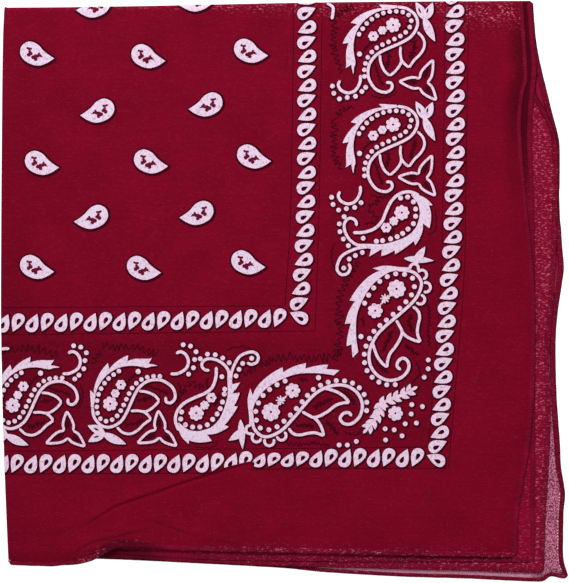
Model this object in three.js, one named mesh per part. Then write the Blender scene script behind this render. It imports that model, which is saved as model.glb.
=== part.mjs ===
// A printed cotton bandana, folded in four and laid flat.
//
// Millimetres, with Z up and the underside at Z = 0. The middle of the whole square is the corner
// where the two folds meet. A place on the cloth is given as right and down: how far it lies to
// the right of the left fold, and how far it lies below the far fold, towards the reader.

import * as THREE from 'three';

// Driving dimensions

const wholeSide = 559; // the square before folding, 22 inches
const wall = 1.0; // thickness of one modelled layer of cloth
const gap = 0.3; // clearance between neighbouring pieces
const hemWidth = 3.0;

const quarterSide = wholeSide / 2;
const layerPitch = wall + gap;

// Height of each layer's underside, from the table up

const backHeight = 0;
const thirdHeight = layerPitch;
const secondHeight = 2 * layerPitch;
const frontHeight = 3 * layerPitch;
const stackHeight = frontHeight + wall;

// The folds: each roll is half of the stack high, and the pieces inside start clear of it

const rollHeight = (stackHeight - gap) / 2;
const rollWall = 1.6;
const slack = 0.1; // so that rings cut at slightly different places still clear each other
const insideRoll = rollWall + gap + slack;
const besideHem = hemWidth + gap;
const shelf = 0.3; // the least step between one ring of a solid and the next

// How finely the shapes are cut

const acrossSteps = 30;
const alongSteps = 32;
const arcSteps = 4;

// The edges. A row for each bend, by how far down or right it lies.

const leftFold = [
  { down: 0, right: -0.2 },
  { down: 16, right: -0.9 },
  { down: 54, right: -1.6 },
  { down: 143, right: -2.0 },
  { down: 172, right: -1.8 },
  { down: 227, right: -0.5 },
  { down: 280, right: 2.0 },
];

const farFold = [
  { right: 0, down: 1.5 },
  { right: 34, down: 1.5 },
  { right: 87, down: 0.5 },
  { right: 140, down: -0.5 },
  { right: 258, down: -1.5 },
];

const rightEdges = {
  front: [
    { down: 0, right: 258.0 },
    { down: 23, right: 259.4 },
    { down: 37, right: 260.4 },
    { down: 44, right: 258.0 },
    { down: 62, right: 256.6 },
    { down: 100, right: 260.0 },
    { down: 141, right: 264.7 },
    { down: 188, right: 264.7 },
    { down: 220, right: 262.2 },
    { down: 255, right: 256.7 },
    { down: 277, right: 256.0 },
  ],
  second: [
    { down: 0, right: 263.6 },
    { down: 18, right: 265.0 },
    { down: 32, right: 265.9 },
    { down: 45, right: 264.7 },
    { down: 64, right: 263.6 },
    { down: 92, right: 264.5 },
    { down: 130, right: 265.1 },
    { down: 279, right: 265.1 },
  ],
  third: [
    { down: 0, right: 264.8 },
    { down: 30, right: 266.6 },
    { down: 44, right: 266.0 },
    { down: 56, right: 270.0 },
    { down: 66, right: 275.2 },
    { down: 84, right: 276.6 },
    { down: 120, right: 275.8 },
    { down: 150, right: 274.2 },
    { down: 175, right: 271.4 },
    { down: 208, right: 272.1 },
    { down: 258, right: 270.3 },
    { down: 284, right: 269.5 },
  ],
  back: [
    { down: 0, right: 264.8 },
    { down: 22, right: 266.8 },
    { down: 47, right: 272.2 },
    { down: 65, right: 275.4 },
    { down: 112, right: 277.4 },
    { down: 132, right: 278.9 },
    { down: 150, right: 276.1 },
    { down: 170, right: 274.6 },
    { down: 195, right: 275.0 },
    { down: 220, right: 277.1 },
    { down: 245, right: 279.2 },
    { down: 278, right: 278.5 },
    { down: 286, right: 280.7 },
  ],
};

const nearEdges = {
  front: [
    { right: 0, down: 279.5 },
    { right: 22, down: 280.2 },
    { right: 33, down: 278.6 },
    { right: 45, down: 272.6 },
    { right: 56, down: 271.0 },
    { right: 92, down: 273.0 },
    { right: 256, down: 276.4 },
  ],
  second: [
    { right: 0, down: 275.0 },
    { right: 46, down: 274.6 },
    { right: 110, down: 278.0 },
    { right: 265, down: 279.0 },
  ],
  third: [
    { right: 0, down: 276.4 },
    { right: 46, down: 276.8 },
    { right: 97, down: 279.1 },
    { right: 139, down: 281.0 },
    { right: 217, down: 283.2 },
    { right: 270, down: 283.6 },
  ],
  back: [
    { right: 0, down: 276.0 },
    { right: 46, down: 276.2 },
    { right: 97, down: 278.8 },
    { right: 139, down: 280.8 },
    { right: 160, down: 283.4 },
    { right: 198, down: 285.8 },
    { right: 232, down: 286.7 },
    { right: 263, down: 288.0 },
    { right: 272, down: 284.6 },
    { right: 281, down: 286.2 },
  ],
};

// Soft ridges of the front quarter: the middle, length and half width of each, the way it runs
// (degrees from straight right, turning towards the reader) and its height.

const ridges = [
  { name: 'long tuck', right: 84, down: 244, length: 124, width: 5, turn: -14, height: 0.8 },
  { name: 'short crease', right: 55, down: 267, length: 36, width: 4, turn: -16, height: 0.6 },
  { name: 'cross crease', right: 84, down: 262, length: 30, width: 4, turn: 20, height: 0.4 },
  { name: 'lifted hem', right: 52, down: 272, length: 46, width: 7, turn: 2, height: 1.6 },
  { name: 'far fold roll', right: 190, down: 7, length: 150, width: 7, turn: 1, height: 0.7 },
  { name: 'right edge roll', right: 250, down: 80, length: 130, width: 7, turn: 90, height: 0.6 },
  { name: 'lower right swell', right: 215, down: 250, length: 90, width: 20, turn: -40, height: 0.4 },
];

// A smooth curve through a table's rows, as a function of one of its columns.
// Each stretch is a cubic whose slopes at its ends are those of the neighbouring rows.
function curveThrough(rows, from, to) {
  const slopes = rows.map((row, i) => {
    const before = rows[Math.max(i - 1, 0)];
    const after = rows[Math.min(i + 1, rows.length - 1)];
    return (after[to] - before[to]) / (after[from] - before[from]);
  });
  return (place) => {
    const last = rows.length - 1;
    const x = THREE.MathUtils.clamp(place, rows[0][from], rows[last][from]);
    const next = Math.max(1, rows.findIndex((row) => row[from] >= x));
    const start = rows[next - 1];
    const end = rows[next];
    const span = end[from] - start[from];
    const t = (x - start[from]) / span;
    const rise = t * t * (3 - 2 * t);
    const leaving = t * (1 - t) * (1 - t) * span * slopes[next - 1];
    const arriving = t * t * (t - 1) * span * slopes[next];
    return start[to] + rise * (end[to] - start[to]) + leaving + arriving;
  };
}

const leftAt = curveThrough(leftFold, 'down', 'right');
const farAt = curveThrough(farFold, 'right', 'down');

function layerOf(name) {
  return {
    rightAt: curveThrough(rightEdges[name], 'down', 'right'),
    nearAt: curveThrough(nearEdges[name], 'right', 'down'),
  };
}

const layers = {
  front: layerOf('front'),
  second: layerOf('second'),
  third: layerOf('third'),
  back: layerOf('back'),
};

// The place at the fractions across and along of a layer, between its four edges, each of them
// moved in by its inset. The two directions depend on each other, so they settle in a few turns.
function placeOn(layer, across, along, inset) {
  let right = across * quarterSide;
  let down = along * quarterSide;
  const settlingTurns = 8;
  for (let turn = 0; turn < settlingTurns; turn++) {
    const far = farAt(right) + inset.far;
    const near = layer.nearAt(right) - inset.near;
    down = far + (near - far) * along;
    const left = leftAt(down) + inset.left;
    const end = layer.rightAt(down) - inset.right;
    right = left + (end - left) * across;
  }
  return { right, down };
}

// How far the front quarter swells above flat: the sum of its ridges.
// A ridge falls off as a bell across itself, and as a flat-topped bell along its length.
function swell(right, down) {
  let height = 0;
  for (const ridge of ridges) {
    const turn = THREE.MathUtils.degToRad(ridge.turn);
    const dx = right - ridge.right;
    const dy = down - ridge.down;
    const along = (dx * Math.cos(turn) + dy * Math.sin(turn)) / (ridge.length / 2);
    const across = (dy * Math.cos(turn) - dx * Math.sin(turn)) / ridge.width;
    height += ridge.height * Math.exp(-across * across - along ** 4);
  }
  return height;
}

// A point in space. Y runs away from the reader, so it is the negative of down.
function point(place, height) {
  return [place.right, -place.down, height];
}

// The rim of a grid of fractions, as [across, along] pairs: along the far edge, down the right
// edge, back along the near edge and up the left one.
function rimFractions() {
  const rim = [];
  for (let i = 0; i < acrossSteps; i++) rim.push([i / acrossSteps, 0]);
  for (let j = 0; j < alongSteps; j++) rim.push([1, j / alongSteps]);
  for (let i = acrossSteps; i > 0; i--) rim.push([i / acrossSteps, 1]);
  for (let j = alongSteps; j > 0; j--) rim.push([0, j / alongSteps]);
  return rim;
}

const rim = rimFractions();

// The two folds meet at the corner (0, 0), and run out at the two other ends of their sides.
function isFold(across, along) {
  return (along === 0 && across < 1) || (across === 0 && along < 1);
}

// The section of a quarter at its rim, from its outer face in to its inner face, as steps of
// inset and depth below the outer face. A fold rounds over the rim and is rollHeight deep. The
// far fold is a quarter circle, because it takes in the whole stack, and the left fold, which
// takes in two layers, is a half circle. An open edge is a plain face as deep as the wall.
function rimSection() {
  const steps = [];
  for (let k = 0; k <= arcSteps; k++) {
    const part = k / arcSteps;
    const quarterTurn = (part * Math.PI) / 2;
    const halfTurn = part * Math.PI;
    const half = rollHeight / 2;
    steps.push({
      far: { inset: rollHeight * (1 - Math.sin(quarterTurn)), depth: rollHeight * (1 - Math.cos(quarterTurn)) },
      left: { inset: half * (1 - Math.sin(halfTurn)), depth: half * (1 - Math.cos(halfTurn)) },
      open: { inset: 0, depth: wall * part },
    });
  }
  const lip = { inset: rollWall - shelf, depth: rollHeight };
  const inside = { inset: rollWall, depth: wall };
  steps.push({ far: lip, left: lip, open: { inset: shelf, depth: wall } });
  steps.push({ far: inside, left: inside, open: { inset: 2 * shelf, depth: wall } });
  return steps;
}

// One ring of a quarter's rim, at one step of its section. Along its open edges the ring's
// points keep the same places down and across at every step, so that the hem fits beside them.
function quarterRing(layer, step, heightOf) {
  return rim.map(([across, along]) => {
    const place = placeOn(layer, across, along, {
      far: across === 1 ? 0 : step.far.inset,
      left: along === 1 ? 0 : step.left.inset,
      right: besideHem + step.open.inset,
      near: besideHem + step.open.inset,
    });
    const fold = along === 0 ? step.far : step.left;
    const depth = isFold(across, along) ? fold.depth : step.open.depth;
    return point(place, heightOf(depth, place));
  });
}

// A mesh being put together: its vertices, and its triangles as vertex numbers.
class Shell {
  constructor() {
    this.vertices = [];
    this.triangles = [];
  }

  addRing(ring) {
    const first = this.vertices.length;
    this.vertices.push(...ring);
    return ring.map((_, i) => first + i);
  }

  // Walls between two rings of the same number of vertices.
  joinRings(upper, lower) {
    upper.forEach((a, i) => {
      const next = (i + 1) % upper.length;
      this.triangles.push([a, lower[i], upper[next]]);
      this.triangles.push([upper[next], lower[i], lower[next]]);
    });
  }

  // A flat face inside a ring. It is turned over where upwards is false.
  capRing(ring, upwards) {
    const outline = ring.map((i) => new THREE.Vector2(this.vertices[i][0], this.vertices[i][1]));
    for (const [a, b, c] of THREE.ShapeUtils.triangulateShape(outline, [])) {
      const turned = THREE.ShapeUtils.isClockWise([outline[a], outline[b], outline[c]]) === upwards;
      this.triangles.push(turned ? [ring[a], ring[c], ring[b]] : [ring[a], ring[b], ring[c]]);
    }
  }

  // The volume inside: the sum of the tetrahedra from the origin to each triangle.
  volume() {
    const [a, b, c] = [new THREE.Vector3(), new THREE.Vector3(), new THREE.Vector3()];
    let sum = 0;
    for (const [i, j, k] of this.triangles) {
      a.fromArray(this.vertices[i]);
      b.fromArray(this.vertices[j]);
      c.fromArray(this.vertices[k]);
      sum += a.dot(b.cross(c)) / 6;
    }
    return sum;
  }

  geometry() {
    if (this.volume() < 0) this.triangles.forEach((corners) => corners.reverse());
    const result = new THREE.BufferGeometry();
    result.setAttribute('position', new THREE.Float32BufferAttribute(this.vertices.flat(), 3));
    result.setIndex(this.triangles.flat());
    result.computeVertexNormals();
    return result;
  }
}

// The front quarter: a grid that swells over its ridges, rings down its rim, a flat inner face.
function frontQuarter() {
  const shell = new Shell();
  const section = rimSection();
  const heightOf = (depth, place) => stackHeight - depth + (depth < wall ? swell(place.right, place.down) : 0);
  const rings = section.map((step) => quarterRing(layers.front, step, heightOf));
  const ids = rings.map((ring) => shell.addRing(ring));
  const gridInset = { far: rollHeight, left: rollHeight / 2, right: besideHem, near: besideHem };
  const rimId = new Map(rim.map(([across, along], i) => [`${across} ${along}`, ids[0][i]]));
  const grid = [];
  for (let j = 0; j <= alongSteps; j++) {
    const row = [];
    for (let i = 0; i <= acrossSteps; i++) {
      const [across, along] = [i / acrossSteps, j / alongSteps];
      let id = rimId.get(`${across} ${along}`);
      if (id === undefined) {
        const place = placeOn(layers.front, across, along, gridInset);
        id = shell.vertices.push(point(place, heightOf(0, place))) - 1;
      }
      row.push(id);
    }
    grid.push(row);
  }
  for (let j = 0; j < alongSteps; j++) {
    for (let i = 0; i < acrossSteps; i++) {
      shell.triangles.push([grid[j][i], grid[j + 1][i], grid[j][i + 1]]);
      shell.triangles.push([grid[j][i + 1], grid[j + 1][i], grid[j + 1][i + 1]]);
    }
  }
  for (let k = 1; k < ids.length; k++) shell.joinRings(ids[k], ids[k - 1]);
  shell.capRing(ids[ids.length - 1], false);
  return shell.geometry();
}

// The back quarter: the same rim turned upside down, between two flat faces.
function backQuarter() {
  const shell = new Shell();
  const heightOf = (depth) => backHeight + depth;
  const ids = rimSection().map((step) => shell.addRing(quarterRing(layers.back, step, heightOf)));
  shell.capRing(ids[0], false);
  for (let k = 1; k < ids.length; k++) shell.joinRings(ids[k - 1], ids[k]);
  shell.capRing(ids[ids.length - 1], true);
  return shell.geometry();
}

// The two hidden quarters as one solid, with a step where the second quarter ends on the third.
function hiddenQuarters() {
  const shell = new Shell();
  const rounding = 0.4;
  const steps = [
    { layer: layers.third, height: thirdHeight, inset: rounding },
    { layer: layers.third, height: thirdHeight + rounding, inset: 0 },
    { layer: layers.third, height: thirdHeight + wall, inset: 0 },
    { layer: layers.second, height: thirdHeight + wall, inset: 0 },
    { layer: layers.second, height: secondHeight + wall - rounding, inset: 0 },
    { layer: layers.second, height: secondHeight + wall, inset: rounding },
  ];
  const ids = steps.map(({ layer, height, inset }) => {
    const open = besideHem + inset;
    const stepIn = layer === layers.second ? shelf : 0;
    const fold = insideRoll + inset + stepIn;
    const edges = { far: fold, left: fold, right: open, near: open };
    return shell.addRing(rim.map(([across, along]) => point(placeOn(layer, across, along, edges), height)));
  });
  shell.capRing(ids[0], false);
  for (let k = 1; k < ids.length; k++) shell.joinRings(ids[k - 1], ids[k]);
  shell.capRing(ids[ids.length - 1], true);
  return shell.geometry();
}

// The section of a hem: its outer edge is rounded, and its inner edge is square.
const hemRounding = 0.35;
const hemSection = [
  { inset: hemWidth, height: 0 },
  { inset: hemRounding, height: 0 },
  { inset: 0, height: hemRounding },
  { inset: 0, height: wall - hemRounding },
  { inset: hemRounding, height: wall },
  { inset: hemWidth, height: wall },
];

// A hem: its section carried along the right or the near edge of a layer, in the same steps as
// the cloth beside it. The right hem runs on past the near one, to the corner.
// foldInset is where it starts, clear of the roll that closes over it.
function hem(layer, side, height, foldInset, lift = () => 0) {
  const shell = new Shell();
  const alongRight = (part, near, inset) =>
    placeOn(layer, 1, part, { far: foldInset, near, left: 0, right: inset });
  const alongNear = (part, inset) =>
    placeOn(layer, part, 1, { far: 0, near: inset, left: foldInset, right: besideHem });
  const rings = [];
  const addSection = (placeAt) => {
    const ring = hemSection.map((corner) => {
      const place = placeAt(corner.inset);
      return point(place, height + corner.height + lift(place.right, place.down));
    });
    rings.push(shell.addRing(ring));
  };
  if (side === 'right') {
    for (let j = 0; j <= alongSteps; j++) addSection((inset) => alongRight(j / alongSteps, besideHem, inset));
    addSection((inset) => alongRight(1, 0, inset));
  } else {
    for (let i = 0; i <= acrossSteps; i++) addSection((inset) => alongNear(i / acrossSteps, inset));
  }
  for (let n = 1; n < rings.length; n++) shell.joinRings(rings[n - 1], rings[n]);
  const first = rings[0];
  const last = rings[rings.length - 1];
  for (let i = 1; i < hemSection.length - 1; i++) {
    shell.triangles.push([first[0], first[i], first[i + 1]]);
    shell.triangles.push([last[0], last[i + 1], last[i]]);
  }
  return shell.geometry();
}

// Cotton on its printed side, on its paler wrong side, and folded double in a hem

const printedCotton = new THREE.MeshStandardMaterial({ color: 0x7a0a22, roughness: 0.9, metalness: 0 });
const wrongSideCotton = new THREE.MeshStandardMaterial({ color: 0x94243c, roughness: 0.92, metalness: 0 });
const hemCotton = new THREE.MeshStandardMaterial({ color: 0x650a1c, roughness: 0.9, metalness: 0 });

const bandana = new THREE.Group();

function add(name, geometry, material) {
  const mesh = new THREE.Mesh(geometry, material);
  mesh.name = name;
  bandana.add(mesh);
}

add('back_quarter', backQuarter(), printedCotton);
add('back_hem_right', hem(layers.back, 'right', backHeight, 0), hemCotton);
add('back_hem_bottom', hem(layers.back, 'near', backHeight, 0), hemCotton);
add('hidden_quarters', hiddenQuarters(), wrongSideCotton);
add('third_hem_right', hem(layers.third, 'right', thirdHeight, insideRoll), hemCotton);
add('third_hem_bottom', hem(layers.third, 'near', thirdHeight, insideRoll), hemCotton);
add('second_hem_right', hem(layers.second, 'right', secondHeight, insideRoll), hemCotton);
add('second_hem_bottom', hem(layers.second, 'near', secondHeight, insideRoll), hemCotton);
add('front_quarter', frontQuarter(), printedCotton);
add('front_hem_right', hem(layers.front, 'right', frontHeight, 0, swell), hemCotton);
add('front_hem_bottom', hem(layers.front, 'near', frontHeight, 0, swell), hemCotton);

// The origin is the middle of the underside.
const size = new THREE.Box3().setFromObject(bandana);
const middle = size.getCenter(new THREE.Vector3());
bandana.position.set(-middle.x, -middle.y, -size.min.z);

export default bandana;
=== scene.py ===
import math

import bpy
import numpy as np
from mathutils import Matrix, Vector


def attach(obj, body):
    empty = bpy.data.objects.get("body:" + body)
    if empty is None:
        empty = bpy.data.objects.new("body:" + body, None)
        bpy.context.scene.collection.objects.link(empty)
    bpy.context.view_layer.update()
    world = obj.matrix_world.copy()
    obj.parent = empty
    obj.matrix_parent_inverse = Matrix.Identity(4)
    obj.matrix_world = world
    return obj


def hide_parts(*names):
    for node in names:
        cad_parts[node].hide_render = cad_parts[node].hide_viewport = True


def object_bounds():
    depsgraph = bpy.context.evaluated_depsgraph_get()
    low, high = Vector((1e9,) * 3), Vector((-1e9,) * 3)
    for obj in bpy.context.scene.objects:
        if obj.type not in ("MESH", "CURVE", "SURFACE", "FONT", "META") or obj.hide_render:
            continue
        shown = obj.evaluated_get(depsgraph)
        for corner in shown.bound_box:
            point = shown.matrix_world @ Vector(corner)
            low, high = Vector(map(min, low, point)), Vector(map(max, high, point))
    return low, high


# A printed cotton bandana, folded in four. Places on the cloth are in millimetres: how far to the
# right of the left fold, and how far down from the far fold. Heights are above the table.

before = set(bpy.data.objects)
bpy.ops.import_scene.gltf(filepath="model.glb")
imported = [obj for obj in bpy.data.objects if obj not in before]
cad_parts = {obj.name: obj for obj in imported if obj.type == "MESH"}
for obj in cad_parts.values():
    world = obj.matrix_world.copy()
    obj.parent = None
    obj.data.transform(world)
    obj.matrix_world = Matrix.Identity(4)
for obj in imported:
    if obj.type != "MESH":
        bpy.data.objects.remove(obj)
cadLow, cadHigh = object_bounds()

# The folds and each layer's open edges. At the left and right it is how far right they lie by how
# far down, and at the far and near sides how far down by how far right.
leftFold = {0: -0.6, 16: -1.3, 54: -1.8, 143: -2.35, 172: -2.1, 227: -0.7, 280: 1.4}
farFold = {0: 1.15, 34: 0.9, 87: 0.0, 140: -1.15, 180: -1.7, 258: -2.2}
rightEdges = {
    "front": {0: 259, 23: 260.6, 37: 261.2, 44: 259.4, 62: 258, 100: 261, 141: 264.7, 188: 264.7,
              220: 262.2, 255: 256.7, 277: 256},
    "second": {0: 263.6, 18: 265, 32: 265.9, 45: 264.7, 64: 263.6, 92: 264.5, 130: 265.1, 279: 265.1},
    "third": {0: 264.2, 30: 265.8, 44: 265.6, 52: 269.9, 58: 272.9, 65: 275.7, 84: 276.6, 120: 275.8,
              150: 274.2, 175: 272.2, 208: 272.9, 258: 270.3, 284: 269.5},
    "back": {0: 264.1, 22: 266.4, 47: 272.1, 57: 274.6, 67: 277.1, 78: 277.6, 100: 277.4, 112: 278.2,
             123: 279, 132: 279.6, 145: 277.8, 156: 276.3, 170: 275.5, 195: 276, 220: 277.7,
             232: 278.3, 244: 280.2, 254: 279.5, 266: 279.3, 278: 279.5, 286: 281.9},
}
nearEdges = {
    "front": {0: 280.2, 22: 280.9, 29: 280.4, 35: 279.9, 39: 279.1, 43: 277.8, 46: 276.2, 50: 273.8,
              57: 271.4, 92: 273, 256: 276.4},
    "second": {0: 275, 46: 274.6, 110: 278, 265: 279},
    "third": {0: 276.4, 46: 276.8, 97: 279.1, 139: 280.9, 217: 282.9, 240: 283.4, 262: 284.1},
    "back": {0: 277.2, 46: 277.4, 97: 279.7, 139: 282, 150: 283.1, 160: 284.1, 198: 286.3, 232: 287.3,
             250: 288.2, 265: 288.8, 269: 288.6, 271.8: 286.6, 274: 286.2, 278: 287.1, 282: 287.5},
}

folding = {
    "frontTop": 4.75,      # height of the printed side of the front
    "backUnder": 0.12,     # and of the back, which faces down
    "sideRoll": 1.05,      # radius of each of the two rolls at the left
    "cloth": 0.3,          # thickness of the cloth as modelled
    "hem": 3.0,            # width of a hem
    "size": (262, 280),    # how far right and down a grid of cloth reaches before it is fitted
    "corner": (2.0, 1.5),  # where the places start, right and down from the corner of the CAD's box
    "table": 0.02,         # nothing round lies lower than this
}
fullTurn = 6.28
farRoll = (folding["frontTop"] - folding["backUnder"]) / 2

ridges = [
    # right, down, length, width, turn in degrees, height
    (84, 243, 110, 5, -16, 0.6),     # the long tuck
    (55, 267, 36, 4, -16, 0.6),      # a short crease under it
    (84, 262, 30, 4, 20, 0.4),       # and one across
    (52, 272, 46, 7, 2, 1.6),        # the lifted stretch of hem
    (190, 7, 150, 7, 1, 0.7),        # the roll of the far fold
    (250, 80, 130, 7, 90, 0.6),      # beside the right edge
    (215, 250, 90, 20, -40, 0.2),    # the lower right swell
]


def curveThrough(table, at):
    # a cubic between neighbouring rows, whose slope at each row is that of the rows beside it
    keys = np.array(sorted(table), float)
    values = np.array([table[k] for k in sorted(table)], float)
    before = np.maximum(np.arange(len(keys)) - 1, 0)
    after = np.minimum(np.arange(len(keys)) + 1, len(keys) - 1)
    slopes = (values[after] - values[before]) / (keys[after] - keys[before])
    x = np.clip(at, keys[0], keys[-1])
    i = np.clip(np.searchsorted(keys, x, side="right") - 1, 0, len(keys) - 2)
    span = keys[i + 1] - keys[i]
    t = (x - keys[i]) / span
    rise = t * t * (3 - 2 * t)
    leaving = t * (1 - t) ** 2 * span * slopes[i]
    arriving = t * t * (t - 1) * span * slopes[i + 1]
    return values[i] + rise * (values[i + 1] - values[i]) + leaving + arriving


def toFrame(right, down, up):
    x = cadLow.x + (right + folding["corner"][0]) / 1000
    y = cadHigh.y - (down + folding["corner"][1]) / 1000
    return np.stack([x, y, up / 1000], -1)


def fade(x, start, end):
    # 0 before the start, 1 after the end, and a smooth cubic between them
    t = np.clip((x - start) / (end - start), 0, 1)
    return t * t * (3 - 2 * t)


def hump(*terms):
    # e to the power of minus the sum of its terms, each of them ((x - middle) / width) to a power
    return np.exp(-sum(((x - middle) / width) ** power for x, middle, width, power in terms))


rippleLook = {"waves": 10, "shortest": 25, "longest": 90, "height": 0.1, "seed": 4}


def ripple(right, down):
    # a gentle uneven surface: the sum of long sine waves that run in seeded directions
    rng = np.random.default_rng(rippleLook["seed"])
    count = rippleLook["waves"]
    total = 0
    for length, turn, start in zip(rng.uniform(rippleLook["shortest"], rippleLook["longest"], count),
                                   rng.uniform(0, math.pi, count), rng.uniform(0, fullTurn, count)):
        way = right * math.cos(turn) + down * math.sin(turn)
        total = total + np.sin(way * fullTurn / length + start)
    return total * rippleLook["height"] / count ** 0.5


tuck = {
    "line": {36: 262, 44: 257, 48: 254.5, 54: 250.8, 61: 248, 69: 245.3, 77: 242.6, 85: 239.7, 92.5: 237.2,
             100: 234.9, 107: 232.9, 110: 231.6, 116: 230, 122: 228.7, 130: 228},
    "from": 30,
    "to": 128,
    "fadeIn": 30,
    "fadeOut": 8,
    "step": 0.75,                # how high the folded-over cloth stands
    "edge": (-0.6, 0.7),         # from where to where it drops, across the line
    "swell": 6,                  # how far back it swells
    "groove": 0.35,              # how deep the line under it is
    "grooveAt": (1.0, 0.8),      # the middle and the width of that line
    "dark": 0.27,                # how much darker the line is painted, as painted shade
    "darkAt": (0.4, 0.5),        # the middle and the width of that painted shade
    "under": (104, 123.5, 222),  # from where to where along it, and below where, it covers the print
    "cover": 0.5,                # how far back from the line the print ends
}
creases = [
    # right and down along the line, depth, width, how dark its painted shade is
    ([(69.5, 262.8), (62.5, 264), (55, 265.8), (48, 267.5), (43, 268.7), (38.5, 271), (35.3, 274)],
     0.35, 0.65, 0.5),
    ([(70, 257.3), (75.5, 258.8), (81, 260.6), (86, 262.8), (92, 264.6), (99, 265.5)], 0.25, 0.8, 0.28),
    ([(44, 257), (36, 260.5), (28, 264), (20, 266.5)], 0.15, 1.2, 0.12),
    ([(96, 268), (108, 268.5), (120, 270.5)], 0.15, 1.0, 0.15),
    ([(18, 270.5), (24, 271.5), (30, 273)], 0.15, 1.0, 0.15),
]


def lineGap(line, right, down):
    # how far each place is from a line of points, and how far along the line the nearest point lies
    gap = np.full(np.shape(right), 1e9)
    along = np.zeros(np.shape(right))
    for k, (a, b) in enumerate(zip(line[:-1], line[1:])):
        way = np.subtract(b, a)
        t = np.clip(((right - a[0]) * way[0] + (down - a[1]) * way[1]) / (way @ way), 0, 1)
        here = np.hypot(right - a[0] - way[0] * t, down - a[1] - way[1] * t)
        along = np.where(here < gap, (k + t) / (len(line) - 1), along)
        gap = np.minimum(here, gap)
    return gap, along


def pressed(right, down):
    # the creases: how deep they are, and how dark their painted shade is, both fading out towards their
    # ends
    depth = 0
    dark = 0
    for line, deep, width, shade in creases:
        gap, along = lineGap(line, right, down)
        share = hump((gap, 0, width, 2)) * np.sin(np.pi * np.clip(along, 0.02, 0.98)) ** 0.6
        depth = depth + deep * share
        dark = dark + shade * share
    return depth, dark


def tuckSpan(right):
    starting = fade(right, tuck["from"], tuck["from"] + tuck["fadeIn"])
    return starting * (1 - fade(right, tuck["to"] - tuck["fadeOut"], tuck["to"]))


def tuckStep(right, down):
    # The cloth swells towards the line by e to the power of how far back it is, drops at once where
    # it lies over itself, and is pressed in below.
    below = down - curveThrough(tuck["line"], right)
    swell = np.exp(-np.maximum(-below, 0) / tuck["swell"])
    shape = tuck["step"] * (1 - fade(below, *tuck["edge"])) * swell
    return (shape - tuck["groove"] * hump((below, *tuck["grooveAt"], 2))) * tuckSpan(right)


# painted shade on the front quarter, kept in its shade attribute, and a little darkening in the band of
# large motifs
shading = {
    "lifted": (0.55, 53, 15, 2.6, 2.0),   # under the lifted hem: how dark, where, half its length, how
                                          # far in from the edge, width
    "bandFrom": (158, 166),               # the band of large motifs, right and down
    "bandTo": (218, 221),
    "band": (0.07, 0.08, 95, 150),        # how dark, and how much darker by how far down
    "soft": (-2, 4),                      # how its edges fade
    "tiltFrom": (6, 14),                  # painted shade beside the right hem, where the cloth slopes down
    "tilt": ((0.37, 50, 80), (0.12, 90, 120)),   # how dark, and where that ends
    "tiltAt": (3.5, 4.5),
    "left": (0.13, 16, 20, 60),           # painted shade along the left fold: how dark, how wide, where it starts
    "low": (0.1, 30, 60, 175, 32),        # a wide patch of painted shade at the left: how dark, and its place and size
    "most": 0.8,
}


def shadeAt(right, down):
    # painted shade, how much darker the cloth is: in the tuck and creases, under the lifted hem, beside the
    # right hem, along the left fold and in a wide patch at the left; and a little darker in the band of
    # large motifs
    side, near = fromEdges("front", right, down)
    below = down - curveThrough(tuck["line"], right)
    shade = tuck["dark"] * hump((below, *tuck["darkAt"], 2)) * tuckSpan(right) + pressed(right, down)[1]
    dark, middle, half, inwards, wide = shading["lifted"]
    shade = shade + dark * hump((right, middle, half, 4), (near, inwards, wide, 2))
    outside = np.maximum(right - shading["bandFrom"][0], down - shading["bandFrom"][1])
    inside = np.minimum(shading["bandTo"][0] - right, shading["bandTo"][1] - down)
    dark, more, start, end = shading["band"]
    band = fade(outside, *shading["soft"]) * fade(inside, *shading["soft"])
    shade = shade + (dark + more * fade(down, start, end)) * band
    tiltShade = sum(dark * (1 - fade(down, start, end)) for dark, start, end in shading["tilt"])
    tiltShade = tiltShade * fade(down, *shading["tiltFrom"])
    shade = shade + tiltShade * hump((side, *shading["tiltAt"], 2))
    dark, wide, start, end = shading["left"]
    shade = shade + dark * hump((right, 0, wide, 2)) * fade(down, start, end)
    dark, x, wide, y, tall = shading["low"]
    shade = shade + dark * hump((right, x, wide, 2), (down, y, tall, 2))
    return np.clip(shade, 0, shading["most"])


def ridgeSum(right, down):
    # each ridge is exp(-across^2 - along^4) times its height
    total = 0
    for x, y, length, width, turn, height in ridges:
        c = math.cos(math.radians(turn))
        s = math.sin(math.radians(turn))
        along = ((right - x) * c + (down - y) * s) / (length / 2)
        across = (-(right - x) * s + (down - y) * c) / width
        total = total + height * hump((across, 0, 1, 2), (along, 0, 1, 4))
    return total


def fromEdges(layer, right, down):
    return (curveThrough(rightEdges[layer], down) - right,
            curveThrough(nearEdges[layer], right) - down)


relief = {
    "ridges": 0.62,             # the share of the ridges' heights
    "steep": (112, 168),        # where the slope beside the right hem stops being steep
    "crest": (1.4, 10.5, 4),    # its crest: height, how far in, width
    "fall": (1.5, 0.6, 8.5),    # its fall: depth, how much more where it is steep, over what way
    "near": (0.7, 7, 50, 80),   # the droop of the near side: depth, over what way, where it starts
    "corner": (3.2, 9, 26, 46),  # and of the lower left corner: where it ends
}


def droopOver(gap, reach, most):
    # the square of how far a place is past the start of the droop
    return np.clip(1 - gap / reach, 0, most) ** 2


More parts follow.
